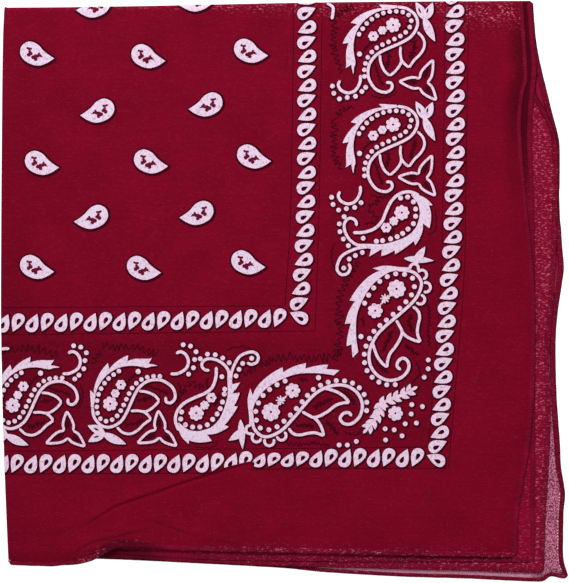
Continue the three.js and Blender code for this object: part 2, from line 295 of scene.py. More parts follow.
def frontRelief(right, down):
    # the sum of the ridges, the tuck, the creases, the slope, the droops and the ripple
    side, near = fromEdges("front", right, down)
    steep = 1 - fade(down, *relief["steep"])
    height, inwards, wide = relief["crest"]
    slope = height * hump((side, inwards, wide, 2)) * steep
    depth, more, reach = relief["fall"]
    slope = slope - (depth + more * steep) * droopOver(side, reach, 1.3)
    depth, reach, start, end = relief["near"]
    droop = -depth * droopOver(near, reach, 1.3) * fade(right, start, end)
    depth, reach, start, end = relief["corner"]
    droop = droop - depth * droopOver(near, reach, 1.1) * (1 - fade(right, start, end))
    total = ridgeSum(right, down) * relief["ridges"] + tuckStep(right, down) - pressed(right, down)[0]
    return total + slope + droop + ripple(right, down)


def quarterAt(face, right, down, lift=0.0):
    # Flat cloth that is wound over the rolls: past the fold, the way that is left over becomes
    # an angle, radius times sine goes sideways and radius times (1 - cosine) goes down. The side
    # roll flattens to nothing where the far roll has turned a quarter, so the corner closes.
    small = folding["sideRoll"]
    left = curveThrough(leftFold, down)
    far = curveThrough(farFold, right)
    turnLeft = np.clip((left + small - right) / small, 0, math.pi)
    turnFar = np.clip((far + farRoll - down) / farRoll, 0, math.pi / 2)
    x = np.where(turnLeft > 0, left + small - small * np.sin(turnLeft), right)
    y = np.where(turnFar > 0, far + farRoll - farRoll * np.sin(turnFar), down)
    flat = np.cos(turnFar)
    drop = farRoll * (1 - flat) + small * (1 - np.cos(turnLeft)) * flat
    normal = np.stack([-np.sin(turnLeft) * flat, -np.sin(turnFar), np.cos(turnLeft) * flat + 1e-6], -1)
    normal = normal / np.linalg.norm(normal, axis=-1, keepdims=True) * np.asarray(lift)[..., None]
    if face == "front":
        settled = flat * (1 + np.cos(turnLeft)) / 2
        up = folding["frontTop"] + frontRelief(right, down) * settled - drop
    else:
        up = folding["backUnder"] + drop
        normal[..., 2] *= -1
    return x + normal[..., 0], y + normal[..., 1], up + normal[..., 2]


# Meshes

def gridFaces(rows, columns, closed=False, start=0):
    # quads between neighbouring rows and columns, and from the last column to the first if closed
    i, j = np.meshgrid(np.arange(rows - 1), np.arange(columns if closed else columns - 1), indexing="ij")
    k = (j + 1) % columns
    quads = np.stack([i * columns + j, i * columns + k, (i + 1) * columns + k, (i + 1) * columns + j], -1)
    return quads.reshape(-1, 4) + start


def makePiece(name, points, faces, materials, attributes=None):
    mesh = bpy.data.meshes.new(name)
    mesh.vertices.add(len(points))
    mesh.vertices.foreach_set("co", np.ascontiguousarray(points, dtype=np.float32).ravel())
    mesh.loops.add(faces.size)
    mesh.loops.foreach_set("vertex_index", np.ascontiguousarray(faces, dtype=np.int32).ravel())
    mesh.polygons.add(len(faces))
    mesh.polygons.foreach_set("loop_start", np.arange(0, faces.size, 4, dtype=np.int32))
    mesh.update(calc_edges=True)
    mesh.polygons.foreach_set("use_smooth", np.ones(len(faces), dtype=bool))
    for key, values in (attributes or {}).items():
        layer = mesh.attributes.new(key, "FLOAT", "POINT")
        layer.data.foreach_set("value", np.ascontiguousarray(values, dtype=np.float32).ravel())
    for material in materials:
        mesh.materials.append(material)
    piece = bpy.data.objects.new(name, mesh)
    bpy.context.scene.collection.objects.link(piece)
    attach(piece, "root")
    return piece


def steps(low, high, step, fine=()):
    # places from low to high, closer together inside the fine stretches
    x = np.linspace(low, high, 2001)
    density = np.full_like(x, 1 / step)
    for start, end, small in fine:
        density = np.where((x >= start) & (x <= end), 1 / small, density)
    count = np.concatenate([[0], np.cumsum((density[1:] + density[:-1]) / 2 * np.diff(x))])
    return np.interp(np.linspace(0, count[-1], int(round(count[-1])) + 1), count, x)


# Shaders

class Value:
    # a socket that adds a Math node when an operator meets it
    def __init__(self, maker, socket):
        self.maker = maker
        self.socket = socket

    def math(self, operation, *others):
        return self.maker.node("ShaderNodeMath", {"operation": operation}, {
            i: v for i, v in enumerate(others)})

    def __add__(self, other):
        return self.math("ADD", self, other)

    def __radd__(self, other):
        return self.math("ADD", other, self)

    def __sub__(self, other):
        return self.math("SUBTRACT", self, other)

    def __rsub__(self, other):
        return self.math("SUBTRACT", other, self)

    def __mul__(self, other):
        return self.math("MULTIPLY", self, other)

    def __rmul__(self, other):
        return self.math("MULTIPLY", other, self)

    def __truediv__(self, other):
        return self.math("DIVIDE", self, other)

    def __pow__(self, other):
        return self.math("POWER", self, other)

    def clamped(self):
        result = self.math("MAXIMUM", self, 0.0)
        return result.math("MINIMUM", result, 1.0)


class Finish:
    def __init__(self, name):
        self.material = bpy.data.materials.new(name)
        self.material.use_nodes = True
        self.tree = self.material.node_tree
        self.tree.nodes.clear()

    def node(self, kind, settings=None, sockets=None, output=0):
        made = self.tree.nodes.new(kind)
        for key, value in (settings or {}).items():
            setattr(made, key, value)
        for key, value in (sockets or {}).items():
            if isinstance(value, Value):
                self.tree.links.new(value.socket, made.inputs[key])
            else:
                made.inputs[key].default_value = value
        return Value(self, made.outputs[output] if len(made.outputs) else None)

    def place(self):
        return self.node("ShaderNodeTexCoord", output=3)

    def noise(self, scale, detail=3.0, stretch=(1, 1, 1)):
        stretched = self.node("ShaderNodeMapping", {}, {"Vector": self.place(), "Scale": stretch})
        return self.node("ShaderNodeTexNoise", {}, {
            "Vector": stretched, "Scale": scale, "Detail": detail, "Roughness": 0.55})

    def mix(self, factor, first, second):
        return self.node("ShaderNodeMix", {"data_type": "RGBA"}, {0: factor, 6: first, 7: second}, 2)

    def ramp(self, value, low, high):
        return self.node("ShaderNodeMapRange", {"interpolation_type": "SMOOTHSTEP"}, {
            "Value": value, "From Min": low, "From Max": high})

    def attribute(self, name):
        return self.node("ShaderNodeAttribute", {"attribute_name": name}, output=2)

    def weave(self, pitch=0.00045):
        # two sets of threads at right angles, where a Wave texture repeats at 0.314 of its scale
        across, along = (self.node("ShaderNodeTexWave", {"bands_direction": way}, {
            "Vector": self.place(), "Scale": 1 / pitch * 0.314, "Distortion": 1.2, "Detail": 1.0}, 1)
            for way in "XY")
        return across + along

    def finish(self, colour, roughness, height, strength, distance, sheen=0.03, glow=0.0):
        bump = self.node("ShaderNodeBump", {}, {
            "Height": height, "Strength": strength, "Distance": distance})
        shader = self.node("ShaderNodeBsdfPrincipled", {}, {
            "Base Color": colour, "Roughness": roughness, "Normal": bump,
            "Specular IOR Level": 0.03, "Sheen Weight": sheen, "Sheen Roughness": 0.4,
            "Sheen Tint": (0.75, 0.12, 0.3, 1), "Emission Color": (1, 1, 1, 1), "Emission Strength": glow})
        self.node("ShaderNodeOutputMaterial", {}, {"Surface": shader})
        return self.material


def screen(colour, gain=0.7):
    # a colour as this light shows it on the screen, as the linear one that a shader takes
    linear = [c / 12.92 if c <= 0.04045 else ((c + 0.055) / 1.055) ** 2.4
              for c in (v / 255 for v in colour)]
    return (*[min(c * gain, 0.95) for c in linear], 1.0)


clothLooks = {
    # its threads' two colours, its worn colour, and how worn it is all over
    "printed_cotton_face": ((121, 2, 33), (104, 1, 26), (214, 120, 148), 0.02),
    "hem_cotton_face": ((131, 9, 45), (104, 3, 32), (214, 120, 148), 0.02),
    "speckled_cotton_face": ((130, 12, 44), (114, 4, 34), (206, 104, 136), 0.44),
    "overcast_thread": ((96, 12, 34), (70, 6, 24), (214, 120, 148), 0.08),
    "bright_thread": ((255, 225, 232), (236, 190, 204), (214, 120, 148), 0.0),
    "second_cotton_face": ((134, 5, 42), (115, 3, 35), (170, 80, 110), 0.0),
}
wrongSideLooks = {
    "grain": ((92, 22, 52), (206, 124, 150)),
    "slub": (134, 58, 86),
    "unseen": (132, 12, 50),     # towards the far fold, where the wrong side is darker
    "paintedLight": (255, 168, 196),      # painted light, where the wrong side shows at the near side
}
printLooks = {
    # its colour, that of its rim, that of its thin places, and its sheen
    "white_print": ((214, 196, 218), (236, 191, 212), (150, 60, 96), 0.05),
    "dark_print": ((42, 0, 12), (57, 1, 18), (78, 1, 22), 0.0),
    "red_figure": ((126, 14, 42), (90, 8, 34), (90, 8, 34), 0.03),
}


def clothFinish(name, base, deep, worn, wornLevel):
    made = Finish(name)
    mottle = made.noise(60.0, 4.0)
    slub = made.noise(900.0, 2.0, (0.09, 1.0, 1.0))
    warp = made.noise(900.0, 2.0, (1.0, 0.07, 1.0))
    threads = made.weave()
    shade = (made.ramp(mottle, 0.3, 0.75) * 0.5 + made.ramp(slub, 0.25, 0.8) * 0.4
             + made.ramp(warp, 0.3, 0.8) * 0.15)
    colour = made.mix(shade.clamped(), screen(deep), screen(base))
    fleck = made.ramp(made.noise(1400.0, 2.0, (0.45, 1.0, 1.0)), 0.54, 0.7)
    patch = made.ramp(made.noise(160.0, 3.0), 0.35, 0.65)
    wear = (made.attribute("worn") * (0.35 + 0.65 * patch) + wornLevel) * fleck
    # painted shade: the shade attribute darkens the colour towards a near black red
    colour = made.mix(made.attribute("shade"), colour, screen((24, 0, 8)))
    colour = made.mix(wear.clamped(), colour, screen(worn))
    height = threads * 0.3 + slub * 0.7 + warp * 0.3
    return made.finish(colour, 0.82, height, 0.4, 0.00015)


def wrongSideFinish(name):
    made = Finish(name)
    grain = made.noise(1700.0, 2.0, (1.0, 0.8, 1.0))
    slub = made.noise(700.0, 2.0, (0.12, 1.0, 1.0))
    colour = made.mix(made.ramp(grain, 0.38, 0.62), *(screen(v) for v in wrongSideLooks["grain"]))
    colour = made.mix(made.ramp(slub, 0.35, 0.7) * 0.3, colour, screen(wrongSideLooks["slub"]))
    colour = made.mix(made.attribute("pale"), screen(wrongSideLooks["unseen"]), colour)
    # painted light: lighter pink where the slit at the near side shows
    colour = made.mix(made.attribute("paintedLight") * 0.7, colour, screen(wrongSideLooks["paintedLight"], 1.0))
    height = made.weave() * 0.35 + grain * 0.9
    return made.finish(colour, 0.85, height, 0.5, 0.00018)


def printFinish(name, inner, rim, thin, sheen):
    made = Finish(name)
    soak = made.noise(1300.0, 3.0, (1.0, 0.6, 1.0))
    edge = made.attribute("rim") ** 1.5
    colour = made.mix((edge * 0.85 + made.ramp(soak, 0.45, 0.75) * 0.4).clamped(),
                      screen(inner), screen(rim))
    patch = made.ramp(made.noise(1000.0, 4.0, (1.0, 0.7, 1.0)), 0.46, 0.74) * 0.52
    colour = made.mix(patch, colour, screen(thin))
    height = made.weave() * 0.35 + made.noise(900.0, 2.0, (0.09, 1.0, 1.0)) * 0.8
    return made.finish(colour, 0.75, height, 0.35, 0.00015, sheen)


printedCloth, hemCloth, thirdFace, thread, brightThread, secondFace = (
    clothFinish(name, *look) for name, look in clothLooks.items())
wrongSide = wrongSideFinish("cotton_wrong_side")
whitePrint, darkPrint, figurePrint = (printFinish(name, *look) for name, look in printLooks.items())
print("finishes made")


# The four quarters of cloth

clothGrid = {
    "step": 2.8, "fineStep": 0.65, "rollStep": 0.38,
    "roll": (2, 3),             # how far right and down the rows of the rolls reach
    "fine": (30, 128, 244, 224),  # the fine stretches: from and to, from at the right, from down
}
innerQuarters = {
    "step": 4.0, "fineStep": 1.2, "fine": 24,
    "level": {"second": 2.95, "third": 2.22},
    "droop": {"second": 1.0, "third": 0.7},
    "over": (14, 10, 0.7),      # the last stretches that droop, right and near, and the near one's share
    "inwards": (2.2, 2.6),      # how far inside the folds they start
}


def fittedGrid(layer, across, along, left, far):
    # A grid from the folds to the middles of the hems, which all bend, so that it is fitted in
    # eight rounds. Its rows start at the fold's line plus the shift that is given.
    a, b = np.meshgrid(across, along)
    right, down = a * folding["size"][0], b * folding["size"][1]
    for turn in range(8):
        start = curveThrough(leftFold, down) + left
        end = curveThrough(rightEdges[layer], down) - folding["hem"] / 2
        top = curveThrough(farFold, right) + far(right)
        bottom = curveThrough(nearEdges[layer], right) - folding["hem"] / 2
        right = start + a * (end - start)
        down = top + b * (bottom - top)
    return right, down


def quarterGrid(layer):
    # the flat cloth, and before it the stretches that are wound over the rolls
    rollSide, rollFar = folding["sideRoll"] * math.pi, farRoll * math.pi / 2
    width, tall = folding["size"]
    step, roll = clothGrid["step"], clothGrid["rollStep"]
    fine = clothGrid["fineStep" if layer == "front" else "step"]
    tuckStart, tuckEnd, rightStart, downStart = clothGrid["fine"]
    across = steps(-rollSide, width, step, [
        (-rollSide, clothGrid["roll"][0], roll), (tuckStart, tuckEnd, fine), (rightStart, width, fine)])
    along = steps(-rollFar, tall, step, [(-rollFar, clothGrid["roll"][1], roll), (downStart, tall, fine)])
    return fittedGrid(layer, (across + rollSide) / (width + rollSide), (along + rollFar) / (tall + rollFar),
                      folding["sideRoll"] - rollSide, lambda right: farRoll - rollFar)


wear = {
    "crest": (1.2, 6, 70, 250),     # along the far fold: width, how much wider by how far right
    "much": (0.2, 0.4, 45, 120),    # how worn, and how much more by how far right
    "far": (0.42, 246, 15, 6, 5),   # at the far right corner: how worn, and its place and size
    "low": (0.3, 1, 2.5, 100, 130),  # along the near hem: where across it, width, where it starts
    "lifted": (0.25, 54, 17, 2.6, 1.8),   # on the lifted stretch of hem
    "hidden": {"second": (0.45, 60, 120), "third": (0.3, -20, -10)},
    "back": 0.1,
}


def wornAt(right, down):
    # the speckled wear: along the far fold, wider towards the right, and here and there along the hem
    near = fromEdges("front", right, down)[1]
    narrow, wider, start, end = wear["crest"]
    band = narrow + wider * fade(right, start, end)
    much, more, start, end = wear["much"]
    worn = np.exp(-np.maximum(down - 1, 0) ** 2 / band ** 2) * (much + more * fade(right, start, end))
    much, x, wide, y, tall = wear["far"]
    worn = worn + much * hump((right, x, wide, 2), (down, y, tall, 4))
    much, inwards, wide, start, end = wear["low"]
    worn = worn + hump((near, inwards, wide, 2)) * fade(right, start, end) * much
    much, x, wide, inwards, tall = wear["lifted"]
    return np.clip(worn + much * hump((right, x, wide, 4), (near, inwards, tall, 2)), 0, 1)


def slitPaintedLight(right, down):
    # painted light: the back's wrong side is painted lighter where it shows past the third quarter's near
    # hem
    near = fromEdges("back", right, down)[1]
    return hump((near, 2.2, 1.6, 4)) * fade(right, 120, 190) * (1 - fade(right, 262, 268))


def clothPiece(name, points, faces, materials, attributes):
    # a sheet made as thick as the cloth, its underside in the second material
    piece = makePiece(name, points, faces, materials, attributes)
    shell = piece.modifiers.new("thickness", "SOLIDIFY")
    shell.thickness = folding["cloth"] / 1000
    shell.offset = -1
    shell.material_offset = 1
    return piece


def quarterPiece(name, face):
    right, down = quarterGrid(face)
    faces = gridFaces(*right.shape)
    looks = {"worn": 0 * right + wear["back"], "pale": fade(down, 125, 165), "paintedLight": slitPaintedLight(right, down),
             "shade": 0 * right}
    if face == "front":
        faces = faces[:, ::-1]
        looks["worn"] = wornAt(right, down)
        looks["shade"] = shadeAt(right, down)
    points = toFrame(*quarterAt(face, right, down)).reshape(-1, 3)
    return clothPiece(name, points, faces, [printedCloth, wrongSide], looks)


def innerHeight(layer, right, down):
    # level, with a droop by the square of how far a place is past the start of the last stretch
    side, near = fromEdges(layer, right, down)
    droop = innerQuarters["droop"][layer]
    sideReach, nearReach, nearShare = innerQuarters["over"]
    sideDroop = droopOver(side, sideReach, 1.1) * droop
    nearDroop = droopOver(near, nearReach, 1.1) * droop * nearShare
    return innerQuarters["level"][layer] - np.maximum(sideDroop, nearDroop)


def innerPiece(name, layer, materials):
    # one of the hidden quarters, which starts inside the folds
    places = [steps(0, end, innerQuarters["step"],
                    [(end - innerQuarters["fine"], end, innerQuarters["fineStep"])]) / end
              for end in folding["size"]]
    left, far = innerQuarters["inwards"]
    right, down = fittedGrid(layer, *places, left, lambda right: far - 2.3 * fade(right, 235, 255))
    much, start, end = wear["hidden"][layer]
    # the second quarter gets painted shade towards the far fold, for the shadow the front's edge casts on
    # it
    looks = {"worn": much * fade(down, start, end), "pale": 0 * right,
             "shade": 0.72 * (1 - fade(down, 70, 115)) * (layer == "second")}
    points = toFrame(right, down, innerHeight(layer, right, down)).reshape(-1, 3)
    return clothPiece(name, points, gridFaces(*right.shape)[:, ::-1], materials, looks)


frontCloth = quarterPiece("front_cloth", "front")
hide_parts("front_quarter")
backCloth = quarterPiece("back_cloth", "back")
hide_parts("back_quarter")
secondCloth = innerPiece("second_cloth", "second", [secondFace, printedCloth])
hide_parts("hidden_quarters")
thirdCloth = innerPiece("third_cloth", "third", [thirdFace, wrongSide])
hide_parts("hidden_quarters")
print("quarters of cloth made")


# Hems

hemShape = {
    "backLow": 2.3, "backNear": 1.9,   # the back's hem, narrower low down and along the near side
    "height": 0.9, "around": 12, "step": 0.9,
    "starts": {"front": -2.2, "second": -1.6, "third": -1.6, "back": -2.2},
    "nearStart": 1.6,
    "short": (0.3, 0.4),               # how far inside the corner the right and the near hem end
    "round": 1.6,                      # over what way an end is rounded
    "pucker": (0.07, 0.12),            # how much wider and higher it is where it puckers
    "below": {"front": 0.15, "second": 0.15, "third": 0.15, "back": -0.34},   # the middle of the cloth
}
# how worn the right and the near hem of each layer are
hemWear = {"front": (0.0, 0.45), "second": (0.0, 0.3), "third": (0.3, 0.35), "back": (0.1, 0.25)}
overcast = {"pitch": 1.15, "radius": 0.11, "slant": 0.45, "clear": 0.03, "rings": 6, "sides": 4}


def layerTop(layer, right, down):
    # height of the middle of the cloth
    if layer == "front":
        top = quarterAt("front", right, down)[2]
    elif layer == "back":
        top = 0 * right + folding["backUnder"]
    else:
        top = innerHeight(layer, right, down)
    return top - hemShape["below"][layer]


def hemWidth(layer, side, down):
    # the back's hem is narrower along the near side and at the end of the right side
    if layer != "back":
        return 0 * down + folding["hem"]
    if side == "near":
        return 0 * down + hemShape["backNear"]
    return folding["hem"] + (hemShape["backLow"] - folding["hem"]) * fade(down, 218, 245)


def hemPath(layer, side):
    # the middle line of a hem, half its width inside the layer's edge
    if side == "right":
        down = np.arange(hemShape["starts"][layer], 300, 0.5)
        right = curveThrough(rightEdges[layer], down) - hemWidth(layer, side, down) / 2
        keep = down < curveThrough(nearEdges[layer], right) - hemShape["short"][0]
    else:
        right = np.arange(hemShape["nearStart"], 300, 0.5)
        down = curveThrough(nearEdges[layer], right) - hemWidth(layer, side, right) / 2
        keep = right < curveThrough(rightEdges[layer], down) - hemShape["short"][1]
    return right[keep], down[keep]


def rounded(share, least):
    # the height of a quarter circle by how far along it is
    return np.sqrt(1 - (1 - np.clip(share, least, 1)) ** 2)


def evenly(points, step):
    # points along a line, all the same way apart
    gaps = np.linalg.norm(np.diff(points, axis=0), axis=1)
    length = np.concatenate([[0], np.cumsum(gaps)])
    at = np.linspace(0, length[-1], max(2, int(round(length[-1] / step)) + 1))
    return np.stack([np.interp(at, length, points[:, k]) for k in range(points.shape[1])], -1), at


def acrossOf(points):
    # unit normals, in the plane, to a line of points
    along = np.gradient(points, axis=0)
    along = along / np.maximum(np.linalg.norm(along, axis=1, keepdims=True), 1e-9)
    return np.stack([-along[:, 1], along[:, 0]], -1), along


def hemLooks(layer, side, line, pucker, turn, tall):
    # how worn the hem is, more on its puckers, and its painted shade: darker along its flanks and in some
    # stretches
    right, down = line.T
    flank = np.clip((np.abs(np.cos(turn)) - 0.45) / 0.4, 0, 1)
    outward = flank * (np.cos(turn) * (-1 if side == "right" else 1) > 0)
    worn = hemWear[layer][0 if side == "right" else 1] * (1 + 1.2 * pucker)
    shade = 0 * right
    flankShade = 0 * right + 0.25
    if side == "right":
        flankShade = flankShade + 0.4 * (1 - fade(down, 80, 150))
    else:
        worn = worn * fade(right, 85, 135) + 1.2 * hump((right, 42, 7, 4)) * (layer != "second")
        # painted shade on the near hems by the lifted stretch
        shade = 0.5 * hump((right, 62, 16, 4))
    # painted shade where the third's hem slants across
    if layer == "third" and side == "right":
        slanting = fade(down, 38, 44) * (1 - fade(down, 64, 74))
        flankShade = flankShade + 0.35 * slanting
        worn = worn * (1 - slanting)
        shade = shade + 0.15 * slanting
    shade = shade[:, None] + flankShade[:, None] * flank
    # painted shade on the outer flank of the front's near hem
    if layer == "front" and side == "near":
        shade = shade + 0.55 * outward * (1 - fade(right, 36, 56))[:, None]
    # the back's hem is darker all over, more so low down, with painted shade on its outer flank
    if layer == "back":
        shade = shade * 0.5 + 0.1 + 0.12 * fade(down, 215, 245)[:, None] + 0.42 * outward
    return {"worn": np.clip(worn[:, None] + 0 * turn, 0, 1) * (tall > 0), "shade": np.clip(shade, 0, 1)}


def hemRoll(name, layer, side):
    # A flattened round section carried along the edge: the cosine and the sine of its angle to the
    # power 0.8. It is a little wider and narrower as it puckers by five seeded sine waves.
    line, at = evenly(np.stack(hemPath(layer, side), -1), hemShape["step"])
    width = hemWidth(layer, side, line[:, 1])
    across, along = acrossOf(line)
    rng = np.random.default_rng(len(name) * 7 + len(layer))
    waves = zip(rng.uniform(2.6, 17, 5), rng.uniform(0, 6, 5))
    pucker = sum(np.sin(at * fullTurn / length + start) for length, start in waves) / 5
    started = at * (6 if side == "right" else 3)
    ends = rounded(np.minimum(started, at[-1] - at) / hemShape["round"], 0.02)
    turn = np.linspace(0, 2 * math.pi, hemShape["around"], endpoint=False)
    wide, tall = (np.sign(v) * np.abs(v) ** 0.8 / 2 for v in (np.cos(turn), np.sin(turn)))
    wide = wide * width[:, None]
    tall = tall * hemShape["height"]
    wider, higher = hemShape["pucker"]
    size = (ends * (1 + wider * pucker))[:, None]
    x = line[:, 0:1] + across[:, 0:1] * wide * size
    y = line[:, 1:2] + across[:, 1:2] * wide * size
    middle = layerTop(layer, line[:, 0], line[:, 1])[:, None]
    up = np.maximum(middle + tall * size * (1 + higher * pucker[:, None]), folding["table"])
    piece = makePiece(name, toFrame(x, y, up).reshape(-1, 3), gridFaces(len(line), len(turn), True),
                      [hemCloth], hemLooks(layer, side, line, pucker, turn, tall))
    return piece, (line, across, along, middle[:, 0], width)


def overcastStitches(name, rows):
    # thin threads that go over the hem in half an ellipse, slanted, one beside the other
    points = []
    faces = []
    count = 0
    over = np.linspace(0.06, 0.94, overcast["rings"]) * math.pi
    around = np.arange(overcast["sides"]) * 2 * math.pi / overcast["sides"]
    stitch = gridFaces(len(over), len(around), True)
    sideways, upwards = (v[None, :, None] for v in (np.cos(over), np.sin(over)))
    ringOut = overcast["radius"] * np.cos(around)
    ringAlong = overcast["radius"] * np.sin(around)
    for line, across, along, middle, width in rows:
        places = np.arange(3, len(line) - 4, overcast["pitch"] / hemShape["step"])
        spot = np.stack([np.interp(places, np.arange(len(line)), v)
                         for v in (*line.T, *across.T, *along.T, middle, width)], 0)[:, :, None, None]
        out = (spot[7] / 2 + overcast["clear"]) * sideways + sideways * ringOut
        on = overcast["slant"] * sideways + ringAlong
        x = spot[0] + spot[2] * out + spot[4] * on
        y = spot[1] + spot[3] * out + spot[5] * on
        tall = (hemShape["height"] / 2 + overcast["clear"]) * upwards
        up = np.maximum(spot[6] + tall + upwards * ringOut, folding["table"])
        starts = np.arange(len(x))[:, None, None] * over.size * around.size + count
        points.append(toFrame(x, y, up).reshape(-1, 3))
        faces.append((stitch[None] + starts).reshape(-1, 4))
        count += x.size
    return makePiece(name, np.concatenate(points), np.concatenate(faces), [thread],
                     {"worn": np.zeros(count)})


needleHoles = {"from": 245, "to": 284, "pitch": 1.5, "radius": 0.3, "in": 0.5, "lift": 0.06}


def holesPiece(name):
    # a row of small bright spots along the inner side of the back's hem, near its lower end
    down = np.arange(needleHoles["from"], needleHoles["to"], needleHoles["pitch"])
    right = curveThrough(rightEdges["back"], down) - hemWidth("back", "right", down) - needleHoles["in"]
    size = needleHoles["radius"] * np.random.default_rng(5).uniform(0.45, 1.1, len(down))
    turn = np.arange(8) * math.pi / 4
    reach = size[:, None, None] * np.array([0.05, 1.0])[None, :, None]
    x = right[:, None, None] + reach * np.cos(turn)
    y = down[:, None, None] + reach * np.sin(turn)
    up = 0 * x + folding["backUnder"] + folding["cloth"] + needleHoles["lift"]
    faces = gridFaces(2, 8, True)[:, ::-1][None] + np.arange(len(down))[:, None, None] * 16
    return makePiece(name, toFrame(x, y, up).reshape(-1, 3), faces.reshape(-1, 4), [brightThread],
                     {"worn": 0 * x, "shade": 0 * x})


hems = {}
for layer in ("front", "second", "third", "back"):
    rows = []
    hems[layer] = []
    for side, node in (("right", "right"), ("near", "bottom")):
        piece, row = hemRoll(layer + "_" + side + "_roll", layer, side)
        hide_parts(layer + "_hem_" + node)
        hems[layer].append(piece)
        rows.append(row)
    hems[layer].append(overcastStitches(layer + "_stitches", rows))
hems["back"].append(holesPiece("back_needle_holes"))
print("hems and stitches made")


# The print. Each mark is a grid between two lines, in millimetres on the flat cloth.

printing = {
    "lift": {"dark": 0.05, "white": 0.09, "figure": 0.13, "ink": 0.17},
    "backLift": 0.6,           # the back's share of those
    "overlap": 0.003,          # how far apart marks that cross lie
    # how far apart the rows of a mark are, and the fewest and most spaces between them
    "rows": {"white": (1.1, 2, 12), "dark": (1.4, 1, 8), "figure": (1.4, 1, 8), "ink": (1.4, 1, 8)},
    "core": 0.03,              # how small the first row of a filled mark is
    "border": 0.75,            # how far the dark shows round a white mark
    "shift": (0.3, 0.3),       # the dark screen printed slightly off
    "rim": 0.8,                # how wide the pinker edge of a white mark is
    "scribble": 0.55,          # how wide a scribbled line is
}
marks = {"white": [], "dark": [], "figure": [], "ink": []}


def smoothLine(points, step=0.6):
    # a cubic through each point, whose slope there is that of the points beside it
    p = np.array(points, float)
    if len(p) == 2:
        return evenly(p, step)[0]
    p = np.concatenate([2 * p[:1] - p[1:2], p, 2 * p[-1:] - p[-2:-1]])
    t = np.linspace(0, 1, 14, endpoint=False)[None, :, None]
    a, b, c, d = (p[k:len(p) - 3 + k, None, :] for k in range(4))
    bend = (2 * a - 5 * b + 4 * c - d) * t ** 2 + (3 * b - a - 3 * c + d) * t ** 3
    curve = 0.5 * (2 * b + (c - a) * t + bend)
    curve = np.concatenate([curve.reshape(-1, 2), p[-2:-1]])
    return evenly(curve, step)[0]


def place(points, at, swap=False, mirror=(1, 1), turn=0.0):
    # points mirrored, turned, their two axes swapped if they lie along the near side, and moved
    p = np.asarray(points, float) * np.array(mirror)
    c, s = math.cos(math.radians(turn)), math.sin(math.radians(turn))
    p = p @ np.array([[c, s], [-s, c]])
    if swap:
        p = p[..., ::-1]
    return p + np.array(at)


def nearFold(points):
    # whether some of a mark lies where the cloth bends
    return points[..., 0].min() < 3 or points[..., 1].min() < 4.5


def addStrip(kind, first, last, closed=False, rows=0, raised=0.0, filled=False):
    # Rows about a millimetre apart, and closer near a fold, where the cloth turns under. Marks that
    # cross lie a few microns apart.
    raised = raised + np.zeros(len(first)) + (len(marks[kind]) % 9) * printing["overlap"]
    widest = np.linalg.norm(last - first, axis=1).max()
    gap, fewest, most = printing["rows"][kind]
    count = rows or int(np.clip(widest / gap, fewest, most)) + 1
    if nearFold(np.stack([first, last])):
        count = count * 3 if widest > 0.5 else count
        columns = np.arange(len(first) + (1 if closed else 0))
        fine = np.linspace(0, columns[-1], 2 * columns[-1] + 1)[:-1 if closed else None]
        first, last = (np.stack([np.interp(fine, columns, np.append(v[:, k], v[0, k])[:len(columns)])
                                 for k in (0, 1)], -1) for v in (first, last))
        raised = np.interp(fine, columns, np.append(raised, raised[0])[:len(columns)])
    k = np.linspace(0, 1, count)[:, None, None]
    inner = 1 - k[:, :, 0] if filled else np.minimum(k, 1 - k)[:, :, 0]
    rim = np.clip(1 - inner * np.linalg.norm(last - first, axis=1) / printing["rim"], 0, 1)
    marks[kind].append((first[None] * (1 - k) + last[None] * k, closed, raised, rim))


def grown(outline, by):
    # a closed line moved out along its normals
    along = np.roll(outline, -1, 0) - np.roll(outline, 1, 0)
    along = along / np.maximum(np.linalg.norm(along, axis=1, keepdims=True), 1e-9)
    normal = np.stack([along[:, 1], -along[:, 0]], -1)
    x, y = outline.T
    if np.sum(x * np.roll(y, -1) - np.roll(x, -1) * y) < 0:
        normal = -normal
    return outline + normal * by


def addFilled(kind, outline, centre=None, rows=2):
    # rows from a tiny copy of the outline out to the outline
    centre = outline.mean(0) if centre is None else centre
    core = centre + (outline - centre) * printing["core"]
    addStrip(kind, core, outline, True, rows, filled=kind == "white")


def addShape(outline, hole=None, border=printing["border"]):
    # a filled closed outline, or a ring when it has a hole, over a dark one that is a little bigger
    centre = outline.mean(0)
    if hole is None:
        addFilled("white", outline, centre, 0)
    else:
        addStrip("white", hole, outline, True)
    addFilled("dark", grown(outline, border) + np.array(printing["shift"]), centre, 0)


def addBand(kind, line, half, rows=0):
    # a strip that reaches half its width to either side of a line
    across = acrossOf(line)[0] * np.reshape(half, (-1, 1))
    addStrip(kind, line - across, line + across, False, rows)


def addStroke(points, width, kind="white", dark=True, step=0.6, tip=None):
    # a line with round ends, or with a fine tip
    line, at = evenly(smoothLine(points, step), step)
    half = width / 2
    ends = np.minimum(at, at[-1] - at)
    addBand(kind, line, half * rounded(ends / (tip or half), 0.03))
    if dark and kind == "white":
        wide = (half + printing["border"]) * rounded((ends + 0.4) / (half + 0.5), 0.1)
        addBand("dark", line + np.array(printing["shift"]), wide)


def polar(centre, radius, turn):
    # the points at a radius, or at a radius for each turn, about a centre
    return np.array(centre) + np.reshape(radius, (-1, 1)) * np.stack([np.cos(turn), np.sin(turn)], -1)


def circle(centre, radius, count=12):
    return polar(centre, radius, np.linspace(0, 2 * math.pi, count, endpoint=False))


def petals(centre, radius, number, depth, count, sharp=0.6):
    # the radius swings between petals as the power of a cosine
    turn = np.linspace(0, 2 * math.pi, count, endpoint=False)
    return polar(centre, radius * (1 - depth + depth * np.abs(np.cos(number * turn / 2)) ** sharp), turn)


